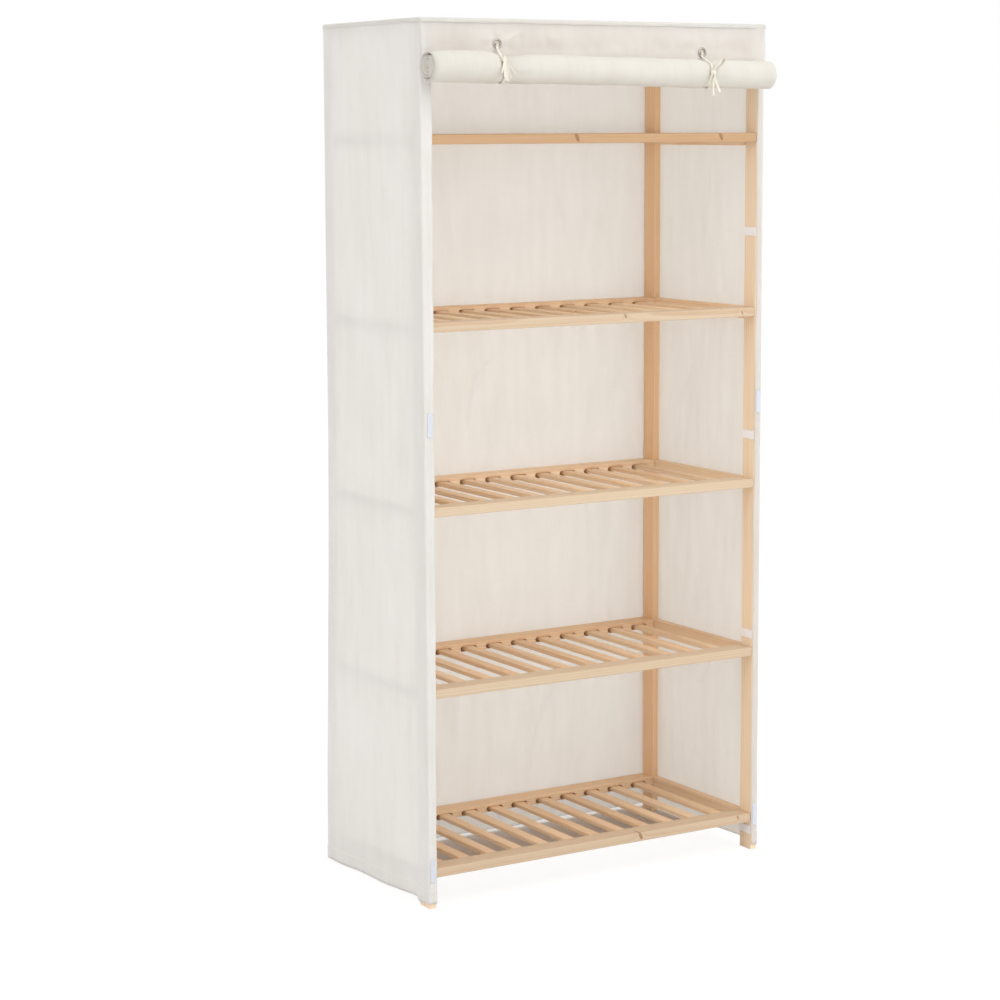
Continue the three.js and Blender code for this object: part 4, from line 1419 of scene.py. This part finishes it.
# Points round a tape's section, and the powers that square it up: wide across, thin through
section = dict(points=12, wide=0.55, thin=0.8)


# A tape along a path: its outline is a flat oval, wide across the path and thin along its normal.
# widths gives its width at even places along the path.
def tapePart(path, side, widths, thickness, closed=False, twist=0.0):
    path = np.asarray(path, float)
    if closed:
        tangent = np.roll(path, -1, 0) - np.roll(path, 1, 0)
    else:
        tangent = np.gradient(path, axis=0)
    tangent /= np.linalg.norm(tangent, axis=1, keepdims=True)
    side = np.broadcast_to(np.asarray(side, float), path.shape)
    across = side - tangent * (side * tangent).sum(1, keepdims=True)
    across /= np.linalg.norm(across, axis=1, keepdims=True)
    normal = np.cross(tangent, across)
    turned = np.linspace(0, twist, len(path))[:, None]
    turnedAcross = across * np.cos(turned) + normal * np.sin(turned)
    normal = normal * np.cos(turned) - across * np.sin(turned)
    width = np.interp(np.linspace(0, 1, len(path)), np.linspace(0, 1, len(widths)), widths)[:, None, None]
    count = section["points"]
    angle = 2 * np.pi * (np.arange(count) + 0.5) / count
    wide = (np.sign(np.cos(angle)) * np.abs(np.cos(angle)) ** section["wide"])[None, :, None]
    thin = (np.sign(np.sin(angle)) * np.abs(np.sin(angle)) ** section["thin"])[None, :, None]
    points = path[:, None] + turnedAcross[:, None] * wide * width / 2 + normal[:, None] * thin * thickness / 2
    faces = gridFaces(len(path), count, wrapColumns=True, wrapRows=closed).tolist()
    if not closed:
        last = (len(path) - 1) * count
        faces += [list(range(count))[::-1], [last + corner for corner in range(count)]]
    return points, faces


# drawn is the width where the tape is drawn together. A loop is how far it goes from the knot, as
# x and height, an end how far it spreads to the side and its length. The left tie hangs in six
# narrow strips, the right one is a bow.
tie = dict(
    width=0.0090,
    thickness=0.0010,
    drawn=0.0050,
    behind=0.0047,
    loops=dict(left=[], right=[(0.0205, 0.0265), (-0.0165, -0.0285)]),
    loopWidths=(0.005, 0.0085, 0.0095, 0.0085, 0.005),
    ends=dict(
        left=[
            (-0.0160, 0.031), (-0.0090, 0.036), (-0.0020, 0.038),
            (0.0050, 0.036), (0.0120, 0.031), (0.0190, 0.025),
        ],
        right=[(0.001, 0.043), (0.014, 0.037)],
    ),
    endWidths=dict(left=(0.0034, 0.0040, 0.0046, 0.0046), right=(0.0040, 0.0052, 0.0062, 0.0066)),
    knotThickness=0.0014,
)


# The tape's ring: out through the eyelet, down over the roll to the knot, under the roll, up
# behind the flap and out again
def tieRing(look, knot):
    behind = flap["outer"] + tie["behind"]
    x, z = look["x"], look["z"]
    aside = look["knotX"] - x
    front = flap["outer"] - 0.0030
    path = [
        (x, flap["outer"] + 0.004, z + 0.001),
        (x + aside * 0.05, front + 0.0004, z - 0.003),
        (x + aside * 0.2, front - 0.0012, z - 0.008),
    ]
    for share, lift in ((0.35, 0.0008), (0.7, 0.0008)):
        turn = 84 + (look["knotTurn"] - 84) * share
        path.append(rollPlace(turn, lift, x + aside * (0.3 + 0.6 * share)))
    path.append(tuple(knot))
    for turn, share in ((-6, 0.85), (-30, 0.7), (-55, 0.5), (-85, 0.35), (-115, 0.2), (-150, 0.0)):
        path.append(rollPlace(min(turn, look["knotTurn"] - 22), 0, x + aside * share))
    low = rollMiddle(x)
    path += [(x, behind - 0.0005, low - 0.004), (x, behind, low + 0.014)]
    path += [(x, behind, z - 0.012), (x, behind, z - 0.004)]
    widths = [tie["drawn"]] * 4 + [tie["width"]] * 3 + [tie["drawn"]]
    return tapePart(smoothPath(path, 6, True), (1, 0, 0), widths, tie["thickness"], True)


# The knot: a band wound twice round the crossing tapes, with a drawn-through end
def tieKnot(knot):
    turns = np.linspace(0, 4 * np.pi, 40)
    half = turns / 2
    band = [0.0050 * np.cos(turns), -0.0016 - 0.0034 * np.sin(turns), 0.0014 * np.sin(half + 0.4) - 0.0005]
    end = [0.0020 * np.cos(half), -0.0034 - 0.0024 * np.cos(half + 1), 0.0052 * np.sin(half)]
    thickness = tie["knotThickness"]
    return [
        tapePart(knot + np.stack(band, -1), (0, 0, 1), [0.0055, 0.0068, 0.0068, 0.0055], thickness),
        tapePart(knot + np.stack(end, -1), (1, 0, 0), [0.005, 0.006, 0.005], thickness),
    ]


# A loop of the bow goes out from the knot and back beside itself
def tieLoop(knot, index, reachX, reachZ):
    stand = -0.006 - 0.002 * index
    path = knot + np.array([
        (0, -0.002, 0),
        (reachX * 0.35 - 0.004, stand, reachZ * 0.4),
        (reachX * 0.8 - 0.003, stand - 0.001, reachZ * 0.85),
        (reachX, stand, reachZ),
        (reachX * 0.95 + 0.003, stand + 0.001, reachZ * 0.75),
        (reachX * 0.45 + 0.004, stand + 0.002, reachZ * 0.35),
    ])
    return tapePart(smoothPath(path, 7, True), (0, 1, 0), tie["loopWidths"], tie["thickness"], True)


# An end falls from the knot over the curve of the roll, then hangs straight, and opens out
def tieEnd(look, widths, index, spread, length):
    points = []
    for share in np.linspace(0, 1, 6):
        x = look["knotX"] + spread * share ** 0.8
        radius = float(rollRadius(x) * (1 - rollPinch(x)))
        turn = math.radians(look["knotTurn"]) - share * length / radius
        lift = 0.0034 + 0.0012 * (index % 2) + 0.003 * share
        far = rollPlace(max(math.degrees(turn), 0), lift, x)
        points.append((far[0], far[1], far[2] + min(turn, 0) * radius - 0.002 * share))
    path = smoothPath(points, 6)
    path[:, 0] += 0.0008 * np.sin(np.linspace(0, 5, len(path)) + index * 1.7)
    side = (1, 0, 0.15 * (index - 1.5))
    return tapePart(path, side, widths, tie["thickness"], twist=0.3 * (index - 1.5))


def makeTies():
    for across, look in ties.items():
        knot = np.array(rollPlace(look["knotTurn"], 0.0035, look["knotX"]))
        parts = [tieRing(look, knot)] + tieKnot(knot)
        parts += [tieLoop(knot, index, *loop) for index, loop in enumerate(tie["loops"][across])]
        widths = tie["endWidths"][across]
        parts += [tieEnd(look, widths, index, *end) for index, end in enumerate(tie["ends"][across])]
        points, faces = joinedParts(parts)
        made = closedSolid(addMesh(f"tape_tie_{across}", points, faces, finishes["tape"]), 60)
        settle(made, [f"tie_{across}"])
        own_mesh(made)


strap = dict(inset=0.0005, thickness=0.0009, widths=(0.018, 0.0176, 0.018, 0.0178, 0.018))


# A strap runs back along the post's inner face and turns round behind it
def makeStraps():
    inset = strap["inset"]
    for side, across in ((-1, "left"), (1, "right")):
        for level in range(1, 5):
            node = f"strap_{across}_{level}"
            low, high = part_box(node)
            inner, outer = (high.x, low.x) if side < 0 else (low.x, high.x)
            z = (low.z + high.z) / 2
            front, back = low.y, high.y
            corner = [
                (inner + side * inset, front + 0.0003, z),
                (inner + side * inset, front + 0.010, z),
                (inner + side * (inset - 0.0006), (front + back) / 2, z + 0.0004),
                (inner + side * inset, back - 0.008, z),
                (inner + side * inset, back - 0.0022, z),
                (inner + side * (inset + 0.0006), back - 0.0010, z),
                (inner + side * 0.0030, back - inset, z),
                (inner + side * 0.008, back - inset, z),
                (outer, back - inset, z),
            ]
            part = tapePart(smoothPath(corner, 5), (0, 0, 1), strap["widths"], strap["thickness"])
            made = closedSolid(addMesh(f"tape_{node}", *part, finishes["strap"]), 60)
            settle(made, [node])


# fromEdge is how far a patch stays off the return's free edge, seam how far its stitches lie inside
patch = dict(fromEdge=0.0026, ease=0.00035, endEase=0.00025, seam=0.0016, seamPoints=30)


def makePatches():
    lines = []
    edge, seam = cover["returnEdge"] + patch["fromEdge"], patch["seam"]
    share = np.linspace(0, 1, patch["seamPoints"])[:, None]
    for side, across in ((-1, "left"), (1, "right")):
        for level in (1, 2):
            node = f"patch_{across}_{level}"
            low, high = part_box(node)
            if side < 0:
                high.x = -edge
            else:
                low.x = edge
            points, faces, caps = barSurface(low, high, 2, patch["ease"], patch["endEase"])
            made = closedSolid(addMesh(f"pile_{node}", points, faces + caps, finishes["patch"]))
            settle(made, [node])
            left, right, bottom, top = low.x + seam, high.x - seam, low.z + seam, high.z - seam
            corners = [(left, bottom), (right, bottom), (right, top), (left, top), (left, bottom)]
            corners = [np.array((x, low.y, z)) for x, z in corners]
            for start, end in zip(corners[:-1], corners[1:]):
                lines.append((start + (end - start) * share, np.tile([0.0, -1.0, 0.0], (len(share), 1))))
    points, faces = joinedParts([stitchParts(*line) for line in lines])
    settle(addMesh("patch_stitches", points, faces, finishes["thread"]))


makeEyelets()
makeTies()
makeStraps()
makePatches()
print("eyelets, ties, straps and patches made")


# Stage and light

# footprint is the part of the floor under the wardrobe that the camera sees painted with shade, as its reach
# in x and in y
stage = dict(
    worldLight=0.87,
    floorSize=40,
    floorColour=(0.86, 0.86, 0.86, 1),
    floorLight=1.08,
    floorGlow=0.82,
    footprint=((-0.385, 0.398), (0.013, 0.268)),
    # painted shade: the brown that the camera sees on the floor in the footprint
    shade=(0.40, 0.29, 0.20, 1),
    shadeEdge=300,  # how sharply the shade ends
    shadeBehind=0.2,  # how much of it is left at the back
    lamps=dict(
        high=dict(place=(1.2, -3.4, 4.4), size=3.0, power=78, aim=0.9),
        front=dict(place=(0.6, -5.2, 1.3), size=3.0, power=16, aim=0.9),
        side=dict(place=(-5.0, -1.4, 3.8), size=2.2, power=41, aim=1.3),
        behind=dict(place=(0.3, 3.0, 2.9), size=3.0, power=42, aim=1.4),
        right=dict(place=(4.4, 0.3, 1.9), size=3.0, power=40, aim=1.1),
    ),
)


# Seen by the camera, in a mirror or through glass the world is white, as a light it is weaker
def makeWorld():
    finish = Finish("studio", "worlds")
    path = finish.node("ShaderNodeLightPath")
    seen = path.out("Is Camera Ray").math("MAXIMUM", path.out("Is Glossy Ray"))
    seen = seen.math("MAXIMUM", path.out("Is Transmission Ray"))
    strength = finish.node("ShaderNodeMapRange", {}, {"Value": seen, "To Min": stage["worldLight"]})
    glow = finish.node("ShaderNodeBackground", {}, {"Color": (1, 1, 1, 1), "Strength": strength})
    finish.node("ShaderNodeOutputWorld", {}, {"Surface": glow})
    scene.world = finish.owner


# The floor glows white for the camera, apart from what it sees through the lowest shelf's gaps: there, under
# the wardrobe, its colour has painted shade, a brown that is darkest in front, on top of the real shading. As
# a surface it is matt and keeps the object's shadow.
def makeFloor():
    finish = Finish("studio_floor")
    seen = finish.node("ShaderNodeLightPath", {}, {}, "Is Camera Ray")
    places = finish.split(finish.objectPlace())[:2]
    withinX, withinY = (
        (((high - low) / 2 - (place - (low + high) / 2).math("ABSOLUTE")) * stage["shadeEdge"]).clamped()
        for place, (low, high) in zip(places, stage["footprint"])
    )
    inside = withinX * withinY
    low, high = stage["footprint"][1]
    forward = ((high - places[1]) / (high - low)).clamped()
    behind = stage["shadeBehind"]
    # How far the colour goes to the painted shade: inside the footprint, for the camera only, most in front
    depth = inside * seen * (forward * (1 - behind) + behind)
    colour = finish.mix(depth, stage["floorColour"], stage["shade"])
    matt = finish.node("ShaderNodeBsdfDiffuse", {}, {"Color": colour})
    glow = finish.node("ShaderNodeEmission", {}, {"Color": (1, 1, 1, 1), "Strength": stage["floorLight"]})
    share = seen * (1 - inside) * stage["floorGlow"]
    mixed = finish.node("ShaderNodeMixShader", {}, {0: share, 1: matt, 2: glow})
    finish.node("ShaderNodeOutputMaterial", {}, {"Surface": mixed})
    half = stage["floorSize"] / 2
    corners = np.array([(-half, -half, 0), (half, -half, 0), (half, half, 0), (-half, half, 0)])
    addMesh("floor", corners, [[0, 1, 2, 3]], finish.owner)


def makeLamps():
    for name, lamp in stage["lamps"].items():
        data = bpy.data.lights.new(name, "AREA")
        data.size, data.energy = lamp["size"], lamp["power"]
        made = bpy.data.objects.new(name, data)
        scene.collection.objects.link(made)
        aim = Vector((0, 0, lamp["aim"])) - Vector(lamp["place"])
        turn = aim.to_track_quat("-Z", "Y").to_matrix().to_4x4()
        made.matrix_world = Matrix.Translation(lamp["place"]) @ turn


makeWorld()
makeFloor()
makeLamps()
scene.view_settings.view_transform = "Standard"
print("stage set")
